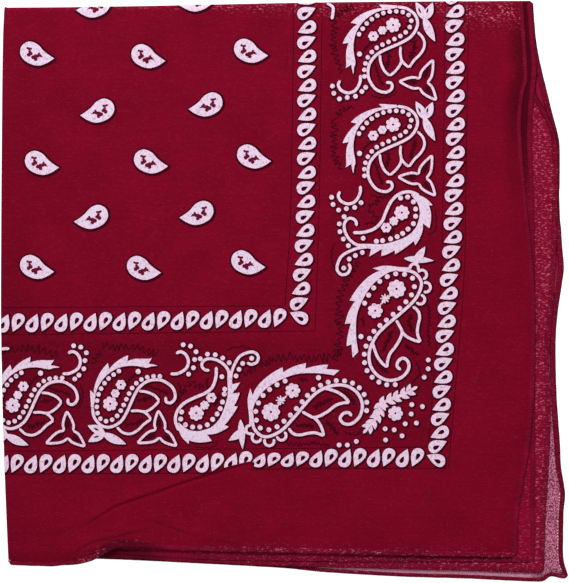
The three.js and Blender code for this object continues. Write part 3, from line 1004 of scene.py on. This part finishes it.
def dropLine(length, width, bend, count=36, fine=1.1):
    # a drop: the half width is sine times a power of the sine of half the angle, and the point
    # of the drop, at the right, is bent aside by the square of how far it is from the round end
    turn = np.linspace(0, 2 * math.pi, count, endpoint=False)
    x = length / 2 * np.cos(turn)
    y = np.sin(turn) * np.sin(turn / 2) ** fine
    y = y / np.abs(y).max() * width / 2 + bend * (x / length + 0.5) ** 2
    return np.stack([x, y - (y.max() + y.min()) / 2], -1)


def leafLine(base, tip, width, bend=0.0, count=22):
    # Two curves from the base to the tip. Half their gap is a sine, to the power 0.9, of how far
    # along they are to the power 0.85, and the middle between them bends aside by a sine.
    base, tip = np.array(base, float), np.array(tip, float)
    way = tip - base
    length = np.linalg.norm(way)
    along = way / length
    side = np.array([-along[1], along[0]])
    t = np.linspace(0, 1, count)
    half = width / 2 * np.sin(np.pi * t ** 0.85) ** 0.9
    middle = base + way * t[:, None] + side * (bend * np.sin(np.pi * t))[:, None]
    return np.concatenate([middle + side * half[:, None], (middle - side * half[:, None])[-2:0:-1]])


def addDots(points, radius, count=None):
    # a dot at each point, or so many evenly along the smooth line through them
    if count:
        line = smoothLine(points, 0.3)
        at = np.linspace(0, len(line) - 1, count)
        points = np.stack([np.interp(at, np.arange(len(line)), line[:, k]) for k in (0, 1)], -1)
    for spot in points:
        addShape(circle(spot, radius))


def addFlower(centre, radius, number, hole):
    addShape(petals(centre, radius, number, 0.24, 56), circle(centre, hole, 56) if hole else None)


def addCrescent(put, inner, start, teeth, side=1):
    # A strip along the inner line. Each row of teeth is how far along one ends, how thick the strip
    # is at its point, how thick just after, how far the point leans on, and the power it swells by.
    line, at = evenly(smoothLine(inner, 0.5), 0.5)
    rows = np.array(teeth)
    ends = np.append(0.0, rows[:, 0])
    bases = np.append(start, rows[:-1, 2])
    spot = np.sort(np.concatenate([at / at[-1], ends[1:-1] - 2e-4, ends[1:-1] + 2e-4]))
    across, along = acrossOf(line)
    line, across, along = (np.stack([np.interp(spot, at / at[-1], v[:, k]) for k in (0, 1)], -1)
                           for v in (line, across, along))
    tooth = np.clip(np.searchsorted(ends, spot, side="right") - 1, 0, len(rows) - 1)
    phase = np.clip((spot - ends[tooth]) / (ends[tooth + 1] - ends[tooth]), 0, 1)
    thick = bases[tooth] + (rows[tooth, 1] - bases[tooth]) * phase ** rows[tooth, 4]
    push = rows[tooth, 3] * phase ** 3
    out = across * side
    outer = line + out * thick[:, None] + along * push[:, None]
    addStrip("white", put(line), put(outer), False, 0, 0.02 * (1 - phase))
    off = np.array(printing["shift"])
    addStrip("dark", put(line - out * printing["border"]) + off,
             put(outer + out * printing["border"] + along * 0.4) + off)


def addScribble(points, swing, pitch):
    # a fine dark line through stops on either side of its path, unevenly far apart and unevenly far
    # out, and the path itself when the stops are as close as the barbs of a feather
    if pitch < 1.8 and swing > 0.55:
        addStroke(points, 0.45, "dark", step=1.0)
    path = smoothLine(points, 0.3)
    across = acrossOf(path)[0]
    rng = np.random.default_rng(len(marks["dark"]))
    stops = np.cumsum(pitch / 2 * rng.uniform(0.5, 1.5, 300)) / 0.3
    stops = stops[stops < len(path) - 1]
    sides = np.where(np.arange(len(stops)) % 2, 1, -1) * rng.uniform(0.4, 1.3, len(stops)) * swing
    index = np.arange(len(path))
    x, y = (np.interp(stops, index, path[:, k]) + sides * np.interp(stops, index, across[:, k])
            for k in (0, 1))
    addBand("dark", smoothLine(np.stack([x, y], -1), 0.3), printing["scribble"] / 2, 2)


# Borders: two rows of drops each way, every other one turned round, between fine lines

borders = {
    # for each row: where its middle is by how far along it is, how far along each drop is by its
    # number, which way the first one points, and how much the drops are squashed by how far along
    "innerColumn": ({0: 150.6, 76: 150.5, 112: 149.7, 127: 149, 134: 148.5, 142: 147.6, 149: 146.9,
                     157: 146.6},
                    {-1: -3.1, 0: 4.15, 20: 149.25, 21: 156.3}, 0, {0: 1, 1: 1}),
    "outerColumn": ({0: 224.5, 75: 224.8, 110: 223.7, 124: 223, 138: 221.8, 152: 220.8, 165: 219.8,
                     214: 216.9, 228: 215}, {-1: -3.6, 0: 3.45, 23: 165.4, 32: 227.5}, 1, {0: 1, 1: 1}),
    "innerRow": ({0: 159.1, 50: 158.3, 93: 157.6, 137: 156.5}, {-1: -1, 0: 6.25, 18: 137}, 0, {0: 1, 1: 1}),
    "outerRow": ({0: 229.4, 92: 229.1, 106: 228.7, 126: 227.5, 140: 227.3, 155: 226.8, 170: 226.4,
                  216: 226.3},
                 {-1: -1.3, 0: 5.75, 8: 63, 14: 105.75, 20: 148.25, 28: 205.75}, 0,
                 {120: 1, 125: 0.78, 148: 0.8, 156: 0.93, 168: 1}),
    "dropLength": 9.6,
    "dropWidth": 6.2,
    "bend": -1.9,
    "hole": (3.6, 2.1),
    "holeShift": (0.0, 0.25),
    "lean": -10,
}


def addBorder(row, swap):
    # ringed drops one after the other, every other one turned round
    outline = dropLine(borders["dropLength"], borders["dropWidth"], borders["bend"], 36, 1.15)
    hole = dropLine(*borders["hole"], -0.8) + np.array([-0.7, 0.3])
    middles, places, turned, squash = row
    last = max(places)
    for k in range(min(places), last + 1):
        at = float(curveThrough(places, k))
        middle = float(curveThrough(middles, at))
        spot = (at, middle) if swap else (middle, at)
        turn = borders["lean"] + (180 if (k + turned) % 2 else 0)
        size = float(curveThrough(squash, at))
        flip = -1 if k == last and not swap else 1
        body, inside = (place(place(v, (0, 0), False, (1, 1), turn), spot, swap, (size, flip))
                        for v in (outline, hole))
        addShape(body, inside + np.array(borders["holeShift"]))


for row in ("innerColumn", "outerColumn", "innerRow", "outerRow"):
    addBorder(borders[row], row.endswith("Row"))
fineLines = [
    [(144.2, 1), (142.6, 100), (139.8, 151)],
    [(158.3, 1), (156.8, 100), (154.8, 163)],
    [(219.8, 1), (218.6, 100), (217.3, 143), (211.4, 221)],
    [(231.5, 1), (230.0, 100), (228.8, 143), (221.4, 232.4)],
    [(-2, 151.4), (139.8, 150.4)],
    [(-2, 165), (154.8, 163)],
    [(-2, 223.2), (211.4, 221)],
    [(-2, 234.6), (105, 233.9)],
    [(118, 232.3), (150, 231.9), (221.4, 231.6)],
]
for line in fineLines:
    addStroke(line, 0.36, "dark", step=1.4)
print("border rows laid out")

# Small drops of the field, each with a little sprig inside

fieldDrops = {
    "leaning": [(15.9, 24.4), (71.5, 25.7), (122.8, 23), (18.3, 79), (72.8, 78.3), (124.3, 75.8),
                (15.9, 131), (69.3, 131.5), (121.4, 128.7)],
    "mirrored": [(45.9, 52.9), (100, 49.8), (42.8, 106), (95.5, 104), (43.8, 0.4), (95.1, -2.6)],
    "shape": [(8.5, 2.4), (5, 4.7), (1, 6), (-3, 5.3), (-6.8, 3), (-8.5, -0.5), (-7.4, -4.2), (-3.7, -6),
              (0.3, -4.5), (3.3, -1.3), (6, 0.8), (8.5, 2.4)],
    "stem": [(1.4, 1.2), (3, 1.8)],
    "sprig": [
        # right, down, radius
        (-4.8, -2.7, 0.6), (-3.9, -2.3, 0.7), (-3.1, -2.4, 0.6), (-3.7, -1, 0.75), (-4.2, 0.6, 1),
        (-3.1, 0, 0.9), (-2, 1.9, 1), (-0.7, 2.8, 0.95), (-0.9, 1.5, 1), (0.3, 1.2, 0.9), (0.9, 0.1, 0.6),
        (1.6, 1.1, 0.7),
    ],
}


def addFieldDrop(at, flip):
    # a smooth closed line, with the sprig's small discs and its stem in it
    outline = smoothLine(fieldDrops["shape"])[:-1]
    addShape(place(outline, at, False, (flip, 1)), border=1.1)
    for x, y, radius in fieldDrops["sprig"]:
        addFilled("figure", circle((at[0] + flip * x, at[1] + y), radius))
    addStroke(place(fieldDrops["stem"], at, False, (flip, 1)), 0.55, "figure", step=0.5)


for way, flip in (("leaning", 1), ("mirrored", -1)):
    for spot in fieldDrops[way]:
        addFieldDrop(spot, flip)

# Large motifs. The same drawing, its two axes swapped, is used in the band along the near side.
# Each has "outline": the points of its line, "inner" and "teeth": its crescent, "dots": paths,
# radius and number, and "flowers": right, down, radius, petals, radius of the hole. The curled and
# the turned drop are drawn about their big flower, and the corner's where it lies.


def putter(at, swap, size=(1, 1, 1), limit=0, middle=(0, 0)):
    # what moves a motif's points into place: they are sized about its middle by the first number left
    # of the limit, the second right of it and the third down, and then placed
    def put(points, move=(0, 0), size=size):
        p = np.asarray(points, float) + np.array(move) - np.array(middle)
        wide = np.where(p[..., 0] < limit, size[0], size[1])
        return place(p * np.stack([wide, 0 * wide + size[2]], -1), at, swap)
    return put


def addBody(put, motif):
    # what each large motif has: its line, its crescent with teeth, its dots and its flowers
    width, tip, start, side = motif["body"]
    addStroke(put(motif["outline"]), width, tip=tip)
    addCrescent(put, motif["inner"], start, motif["teeth"], side)
    for path, radius, count in motif["dots"]:
        addDots(put(path), radius, count)
    for x, y, radius, number, hole in motif["flowers"]:
        addFlower(put((x, y)), radius, number, hole)


def addStrokes(put, paths, width):
    for path in paths:
        addStroke(put(path), width)


def addLeaves(put, leaves, bend=0.0):
    for base, tip, width in leaves:
        addShape(leafLine(put(base), put(tip), width, bend))


def addScribbles(put, motif):
    for path, swing, pitch in motif["scribbles"]:
        addScribble(put(path), swing, pitch)


curledDrop = {
    "body": (1.45, 0.9, 1.3, 1),     # width and tip of its line, thickness and side of its crescent
    "outline": [(2, -9.2), (7, -8.2), (11, -5), (12.2, -0.5), (10, 4.5), (5.5, 8), (-5.5, 13), (-9.5, 16),
                (-12, 20), (-12.5, 25), (-11, 29), (-8, 32.4), (-3.5, 33.5), (-0.6, 31.5), (-1, 28.9),
                (-3.6, 28.6)],
    "inner": [(2, -8.6), (-1.4, -8), (-7.5, -6.8), (-13.2, -3.3), (-17, 1), (-19.2, 6), (-19.8, 12.3),
              (-18.8, 18.5), (-19.4, 21), (-19.8, 24.4)],
    "teeth": [(0.145, 3.1, 1.0, 2.0, 1.1), (0.45, 4.6, 1.5, 2.1, 1.2), (0.65, 5.5, 2.1, 1.6, 1.2),
              (0.87, 5.2, 2.4, 2.8, 0.8), (1.0, 0.1, 0, 0, 1)],
    "dots": [([(-17, 4.5), (-13.2, -0.8), (-7.7, -4.8), (-1.5, -6.8), (5.2, -6.4), (8.8, -3.7), (8.4, 0.8),
               (5, 4.6), (-2, 8.2), (-8.5, 11.5), (-12.6, 16), (-14.2, 21), (-14.3, 25.6)], 1.15, 23)],
    "flowers": [(0, 0, 3.7, 7, 0.55), (-5.4, 2.6, 2.2, 6, 0), (-9.9, 5.5, 2.6, 6, 0.5)],
    "leaves": [
        [(-6.6, 14.8), (-6.2, 18.5), (-4.4, 22.7), (-1.6, 25.3)],
        [(-1.6, 25.3), (1.6, 22.4), (4, 18.4), (3.6, 14), (3.8, 10.5)],
        [(12.2, 3.4), (15, 6.6), (15.6, 10.6), (13.6, 14.4), (10.6, 17.4), (8, 21.1)],
        [(8, 21.1), (5.6, 19.2), (4, 17)],
    ],
    "hook": [(-16.3, 29.6), (-16.6, 33.5), (-19, 37.4), (-22.6, 38.6), (-26, 37.2), (-27.4, 34.6),
             (-26.5, 32.4)],
    "hookDots": [(-30.7, 36.3), (-30, 39.9), (-27.2, 42.7), (-23.3, 42), (-19.2, 41.4), (-16, 39),
                 (-14.1, 36.9)],
    # where its middle is, which way each petal points, how long it is, how far from the middle the
    # notches are, how much of its length a side swells by, and the vein's start, end and width
    "trefoil": {"middle": (14.5, 29), "ways": (-65, 50, 185), "lengths": (13, 11, 11.5), "notch": 2.6,
                "swell": 0.11, "vein": (0.2, 0.66, 1.8)},
    "tulip": [((15.8, -2.6), (11.3, -11.6), 4.3), ((15.6, -2.6), (19.8, -11.3), 4.3),
              ((15.3, -4), (21, 8.2), 4.2)],
    "tulipHoles": [((13.8, -6), (12.6, -8.6), 0.9), ((16.8, -5.8), (17.5, -8.6), 0.9)],
    # for each one: its big flower, whether it lies along the near side, its size each way from
    # the flower, how far its hook and that one's dots and its trefoil are moved, and the dots
    "places": [
        ((193.75, 10.25), False, (1.0, 1.0, 1.0), (0, -4.8), (0.4, -5.9), (0, 0), 7),
        ((193.75, 59.9), False, (1.0, 1.0, 1.0), (0, 1.0), (0, 0), (-0.5, -1.9), 6),
        ((3.7, 200.2), True, (0.96, 0.95, 0.965), (0.5, -4.8), (0.9, -5.9), (0, 0), 7),
        ((52.4, 199.4), True, (0.96, 0.96, 0.97), (1.4, 0.5), (1.2, 0.2), (0.4, -3.2), 6),
    ],
    "scribbles": [
        # its path, how far it swings, how far apart the swings are
        ([(-30, -5), (-29, 3), (-30, 10), (-28.5, 17), (-25.5, 24)], 1.7, 2.5),
        ([(-19, -9), (-24, -8), (-28, -4)], 1.3, 2.2),
        ([(-1.8, 13.5), (-2.4, 17), (-3, 21.5)], 1.2, 1.4),
        ([(10.6, 7), (10.8, 11.5), (8.2, 17)], 1.3, 1.4),
        ([(7, -3), (7.6, 0.5), (4.5, 3)], 0.7, 1.5),
        ([(-9.8, 17.5), (-8, 22), (-6.6, 27), (-5, 30)], 0.8, 1.7),
        ([(-16, 14), (-12, 9.5), (-8, 8)], 0.7, 1.6),
        ([(-12, 34.5), (-7, 36.3), (-1, 35.4), (2.5, 33)], 0.5, 2.2),
    ],
}


def trefoilLines(middle, ways, lengths, notch, swell, vein):
    # three pointed petals: each side runs from the notch halfway between two petals to a tip, and
    # swells outwards by the sine of how far along it is to the power 0.7, fullest near the notch
    turn = np.radians(ways)
    tips = polar((0, 0), lengths, turn)
    along = np.linspace(0, 1, 5)[:, None]
    sides = []
    for k, tip in enumerate(tips):
        for beside in (1, -1):
            between = (turn[(k + beside) % 3] - turn[k]) * beside % (2 * math.pi)
            start = polar((0, 0), notch, turn[k] + beside * between / 2)[0]
            way = tip - start
            out = np.array([-way[1], way[0]]) * swell
            out = out * np.sign(out @ start)
            sides.append(np.array(middle) + start + way * along + out * np.sin(math.pi * along ** 0.7))
    veins = [(middle + tip * vein[0], middle + tip * vein[1], vein[2]) for tip in tips]
    return sides, veins


def addCurledDrop(at, swap, size, hookMove, dotMove, trefoilMove, hookDots):
    # the drop whose end curls up, with what hangs from it and the sprigs beside it
    put = putter(at, swap, size)
    addBody(put, curledDrop)
    addDots([put((-16.8, 14.4))], 1.3)
    addStrokes(put, curledDrop["leaves"], 1.3)
    addStroke(put(curledDrop["hook"], hookMove, (1, 1, 1)), 1.5)
    addDots(put(curledDrop["hookDots"][:hookDots], dotMove, (1, 1, 1)), 1.2)
    sides, veins = trefoilLines(**curledDrop["trefoil"])
    for side in sides:
        addStroke(put(side, trefoilMove), 1.25, tip=1.0)
    for base, tip, width in veins:
        addFilled("dark", leafLine(put(base, trefoilMove), put(tip, trefoilMove), width))
    addLeaves(put, curledDrop["tulip"], 0.3)
    for base, tip, width in curledDrop["tulipHoles"]:
        addFilled("ink", leafLine(put(base), put(tip), width))
    addScribbles(put, curledDrop)


for row in curledDrop["places"]:
    addCurledDrop(*row)

turnedDrop = {
    "body": (1.55, None, 1.4, -1),
    "outline": [(-24.4, 10), (-19, 9.8), (-13.7, 8), (-10, 4.4), (-7.6, -1.2), (-4.8, -6.3), (-0.7, -9.6),
                (4, -10.4), (8.7, -8.7)],
    "inner": [(4.6, -8.8), (7.9, -4.6), (9, 0), (8.3, 4.2), (6.7, 7.9), (3.3, 11.3), (-0.8, 13.3),
              (-5.8, 15),
              (-10.4, 15.8), (-16.7, 15.6), (-21, 15.6)],
    "teeth": [(0.14, 6.8, 4.7, 1.8, 1.3), (0.29, 6.3, 2.2, 2.3, 0.85), (0.46, 6.0, 3.7, 1.5, 1.1),
              (0.64, 6.2, 4.0, 1.7, 1.2), (0.765, 5.9, 2.3, 1.2, 1.1), (0.87, 6.3, 2.6, 1.2, 1.4),
              (1.0, 1.4, 0, 0, 1.0)],
    "dots": [([(-0.6, -7.3), (2.9, -7.8), (5.8, -5.4), (6.9, -1.8), (6.9, 1.8), (5.8, 5.5), (3.1, 8.2),
               (0.4, 10.4), (-2.3, 12), (-5.6, 13.1), (-9.6, 14), (-12.7, 14.3)], 1.25, None)],
    "flowers": [(0, 0, 3.8, 8, 0.55), (-4, 4.2, 2.3, 7, 0), (-7.8, 7.5, 2.6, 6, 0.5)],
    "curls": [
        [(-22.6, 6.7), (-23, 4.2), (-25, 2.8), (-27.2, 3.3), (-28.7, 5.6), (-28.4, 9.4), (-26.2, 13.3),
         (-22.5, 16), (-17.5, 16.6)],
        [(-16, 17), (-22.5, 17.9), (-29.3, 21.1), (-31.8, 24.9), (-32.3, 28.6), (-30.2, 30.9),
         (-27.2, 30.4), (-25.8, 27.7), (-26.7, 25.3)],
    ],
    "loose": [(-19.3, 12.8), (-29, 27.7), (-28.8, 2), (-31.2, 5.6), (-30.9, 9.5), (-29.2, 13.2),
              (-26.7, 16.5), (-19.7, 19.9), (-23.2, 21.4), (-26.3, 23.2)],
    "scribbles": [
        ([(-9.5, -9), (-13, -5), (-17, -3), (-15, 0), (-12, 4)], 1.4, 2.4),
        ([(-19, 6), (-15, 5), (-12, 7)], 0.7, 1.7),
        ([(-11, 11), (-7, 11.5), (-3, 8.5)], 0.6, 1.5),
        ([(16.5, -3), (17.2, 3), (16.6, 9), (12.5, 11)], 0.25, 3.0),
        ([(-33, 14), (-35, 20), (-34.5, 26), (-30, 33)], 0.3, 2.6),
    ],
}


def addTurnedDrop(at, swap):
    # the drop that points the other way, with two curls at its end
    put = putter(at, swap, (1 - 0.055 * swap, 1, 1), -12 * swap)
    addBody(put, turnedDrop)
    addStrokes(put, turnedDrop["curls"], 1.45)
    addDots(put(turnedDrop["loose"]), 1.2)
    addScribbles(put, turnedDrop)


addTurnedDrop((198.1, 103.9), False)
addTurnedDrop((95.4, 204.1), True)

cornerDrop = {
    "body": (1.55, None, 1.2, 1),
    "outline": [(195.6, 132.3), (203, 133.3), (207, 136.6), (207.8, 140.8), (204.9, 147), (199.2, 152.7),
                (188, 162.4), (183.6, 168.6), (181.7, 175), (182.7, 180.9), (186.4, 185.5), (191.9, 187.7),
                (197.6, 186.4), (201.2, 182.6), (201.4, 178.8), (199, 176.6), (196.4, 178), (195.8, 180.8),
                (197.6, 182.4)],
    "inner": [(201.8, 132.3), (194.3, 133), (190.3, 134.5), (184.8, 138.5), (180.8, 143.5), (177.8, 149),
              (175.8, 154.5), (175.2, 160), (175.3, 166), (175.8, 170), (176.4, 173.4)],
    "teeth": [(0.2, 5.8, 1.9, 5.2, 2.6), (0.55, 5.8, 2.9, 1.8, 0.6), (0.74, 5.5, 2.4, 1.0, 1.0),
              (0.915, 5.3, 2.6, 1.2, 1.0), (1.0, 3.3, 0, 2.4, 1.0)],
    "dots": [([(179.5, 149.1), (181.9, 144.6), (186, 139.2), (191, 135.8), (197, 134.3), (203.2, 136.4),
               (204.4, 140.8), (202.8, 145.2), (197.2, 151.6), (190.4, 157.6)], 1.25, 14),
             ([(187.2, 160.3), (184.2, 163.2), (180.5, 169.8), (179.3, 176), (180.4, 182.2), (184.2, 187),
               (189.6, 189.7), (194.8, 189.8)], 1.25, 11)],
    "flowers": [(195.5, 142, 4.6, 8, 0.6), (184.8, 152.9, 3.8, 7, 0.55)],
    "leaves": [
        [(195.3, 157.6), (196.8, 160.3), (198.2, 163.4), (197.2, 167), (194.8, 171), (192.2, 174.4),
         (191, 178),
         (190.8, 181.2)],
        [(183.5, 168.8), (184.4, 172), (186, 176), (188.2, 179), (190.8, 181.2)],
        [(203.6, 150.8), (206.2, 153), (207, 156.3), (206.2, 160.3), (205.9, 164.2), (207.4, 168.5)],
        [(198.2, 163.4), (200.3, 165.6), (203.6, 167.4), (207.4, 168.5)],
    ],
    "leafy": [((199.2, 126.8), (214.2, 127.9), 3.4), ((203.9, 130.4), (209.8, 120.8), 4.0)],
    "scallops": [(204.3, 131.6, 2.1, -80), (208.2, 134.9, 2.3, -35), (210, 141.2, 2.4, 0),
                 (207.3, 147.3, 2.3, 30)],
    "scribbles": [
        ([(177, 127.5), (173, 133.5), (168.6, 141), (166.5, 149), (166.8, 157), (167.2, 165),
          (166.4, 171), (164.5, 178)],
         2.0, 2.6),
        ([(202.6, 154), (202, 159), (203, 163.5)], 1.2, 1.4),
        ([(193.4, 162.5), (191, 168), (188.8, 173.5)], 1.3, 1.4),
        ([(199.5, 169), (203, 172.6), (207, 175.5)], 1.2, 1.5),
        ([(211.3, 149), (211.8, 157), (211.2, 164), (212.4, 171.5)], 0.8, 1.9),
        ([(184, 175), (187, 181), (192, 184)], 0.9, 1.5),
        ([(179.4, 161), (178.6, 156)], 0.9, 1.6),
        ([(188, 138), (184, 143), (182, 148)], 0.6, 1.5),
        ([(205, 178), (207, 184), (203, 189)], 0.5, 1.8),
    ],
}


def addCornerDrop(swap):
    # the drop beside the corner; the second one is the first with its axes swapped about its
    # smaller flower
    middle = (184.9, 152.8)
    put = putter((143.5, 192.9) if swap else middle, swap, (0.91 if swap else 1, 1, 1), 0, middle)
    addBody(put, cornerDrop)
    addShape(petals(put((189.7, 146.8)), 2.5, 8, 0.6, 48, 1.4))
    addStroke(put([(187.2, 150), (192.8, 145)]), 0.75, dark=False)
    addStrokes(put, cornerDrop["leaves"], 1.45)
    addLeaves(put, cornerDrop["leafy"])
    for x, y, radius, facing in cornerDrop["scallops"]:
        addStroke(put(polar((x, y), radius, np.radians(np.linspace(facing - 115, facing + 115, 9)))), 1.4)
    addDots([put((177.7, 165.8))], 1.3)
    addScribbles(put, cornerDrop)


addCornerDrop(False)
addCornerDrop(True)

cornerSprig = {
    "arms": [[(187.6, 199.4), (193, 197), (198.6, 194.8), (204.2, 191.8)],
             [(187.6, 199.4), (186.6, 204), (183.8, 208.6), (180.2, 212.6)]],
    "dots": [(203.1, 199.8), (208.4, 200.8), (202.8, 204.5), (205.4, 209), (199.8, 209.4), (194.3, 212.4),
             (189.8, 211.9), (198.2, 215.4), (190, 217.5), (175.4, 218.2), (170.9, 220), (166.8, 220),
             (211.3, 177.5), (211.3, 181.9), (209.3, 186.1)],
}
for arm in cornerSprig["arms"]:
    line = smoothLine(arm, 0.5)
    across, along = acrossOf(line)
    addStroke(arm, 1.6)
    for part in np.linspace(0.04, 0.86, 5):
        k = int(part * (len(line) - 1))
        for hand in (-1, 1):
            tip = line[k] + along[k] * 2.5 + across[k] * hand * 3.0
            addShape(leafLine(line[k] - along[k], tip, 2.2))
    addShape(leafLine(line[-1] - along[-1] * 1.0, line[-1] + along[-1] * 2.2, 1.6))
addFlower((194.9, 204.2), 3.8, 7, 0.5)
addDots(cornerSprig["dots"], 1.2)
addStroke([(160.6, -1), (163.6, 1.2), (163.7, 4), (163.1, 7.4)], 1.5)
addStroke([(-2, 172), (2, 171.8)], 1.5)
print("motifs drawn:", {kind: len(grids) for kind, grids in marks.items()})


def printPiece(name, face, kinds, materials):
    # lays the marks on the quarter's surface, cut where the cloth turns under or is tucked over
    points = []
    faces = []
    rims = []
    indices = []
    count = 0
    for slotIndex, kind in enumerate(kinds):
        lift = printing["lift"][kind] * (1 if face == "front" else printing["backLift"])
        for grid, closed, raised, rim in marks[kind]:
            if face == "back" and len(grid) > 3 and not nearFold(grid):
                kept = [0, len(grid) // 2, len(grid) - 1]
                grid = grid[kept]
                rim = rim[kept]
            rows, columns = grid.shape[:2]
            right, down = grid[..., 0].copy(), grid[..., 1].copy()
            if face == "front":
                start, end, low = tuck["under"]
                inTuck = (right > start) & (right < end) & (down > low)
                cut = curveThrough(tuck["line"], right) - tuck["cover"]
                down = np.where(inTuck, np.minimum(down, cut), down)
            lowest = curveThrough(farFold, right) + farRoll * (1 - math.pi / 2) + 0.02
            down = np.maximum(down, lowest)
            right = np.maximum(right, curveThrough(leftFold, down) + folding["sideRoll"] * (1 - 2.6))
            quads = gridFaces(rows, columns, closed)
            flat = np.stack([right.ravel(), down.ravel()], -1)
            a, b, c, d = (flat[quads[:, k]] for k in range(4))
            first, second = c - a, d - b
            area = (first[:, 0] * second[:, 1] - first[:, 1] * second[:, 0]) / 2
            quads = np.where((area > 0)[:, None], quads[:, ::-1], quads)[np.abs(area) > 1e-4]
            if face == "back":
                quads = quads[:, ::-1]
            x, y, up = quarterAt(face, right, down, lift + raised)
            points.append(toFrame(x, y, up).reshape(-1, 3))
            faces.append(quads + count)
            rims.append(rim.ravel())
            indices.append(np.full(len(quads), slotIndex))
            count += rows * columns
    piece = makePiece(name, np.concatenate(points), np.concatenate(faces), materials,
                      {"rim": np.concatenate(rims)})
    piece.data.polygons.foreach_set("material_index", np.concatenate(indices).astype(np.int32))
    return piece


printPieces = {}
for face in ("front", "back"):
    printPieces[face] = [
        printPiece(face + "_print_dark", face, ("dark", "figure", "ink"),
                   [darkPrint, figurePrint, darkPrint]),
        printPiece(face + "_print_white", face, ("white",), [whitePrint]),
    ]
    for piece in printPieces[face]:
        print(piece.name, len(piece.data.polygons), "faces")

print("print laid on the cloth")


# Floor, light and camera

def floorFinish():
    made = Finish("floor_paint")
    tone = made.mix(made.noise(3.0), (0.30, 0.30, 0.30, 1), (0.32, 0.32, 0.32, 1))
    return made.finish(tone, 0.9, made.noise(400.0), 0.02, 0.0001, 0.0, 0.9)


floorMesh = bpy.data.meshes.new("floor")
floorMesh.from_pydata([(-3, -3, 0), (3, -3, 0), (3, 3, 0), (-3, 3, 0)], [], [(0, 1, 2, 3)])
floorMesh.materials.append(floorFinish())
floor = bpy.data.objects.new("floor", floorMesh)
bpy.context.scene.collection.objects.link(floor)

studio = {"key": 36.8, "keyPlace": (-0.15, 1.0, 1.3), "keySize": 0.7, "sky": 0.62}


def addLight(name, place, aim, size, power):
    lamp = bpy.data.lights.new(name, "AREA")
    lamp.shape = "DISK"
    lamp.size = size
    lamp.energy = power
    holder = bpy.data.objects.new(name, lamp)
    bpy.context.scene.collection.objects.link(holder)
    holder.location = place
    holder.rotation_euler = (Vector(aim) - Vector(place)).to_track_quat("-Z", "Y").to_euler()
    return holder


addLight("key", studio["keyPlace"], (0, 0, 0), studio["keySize"], studio["key"])
world = bpy.data.worlds.new("studio")
world.use_nodes = True
world.node_tree.nodes["Background"].inputs["Color"].default_value = (1, 1, 1, 1)
world.node_tree.nodes["Background"].inputs["Strength"].default_value = studio["sky"]
bpy.context.scene.world = world
bpy.context.scene.view_settings.view_transform = "Standard"

shot = {"height": 1.2, "tall": 0.2915, "centre": (0.00015, 0.0)}
camera = bpy.data.cameras.new("camera")
camera.sensor_fit = "VERTICAL"
camera.sensor_height = 36
camera.lens = 36 * (shot["height"] - 0.004) / shot["tall"]
camera.clip_end = 20
holder = bpy.data.objects.new("camera", camera)
bpy.context.scene.collection.objects.link(holder)
holder.location = (*shot["centre"], shot["height"])
bpy.context.scene.camera = holder
print("floor, light and camera made")
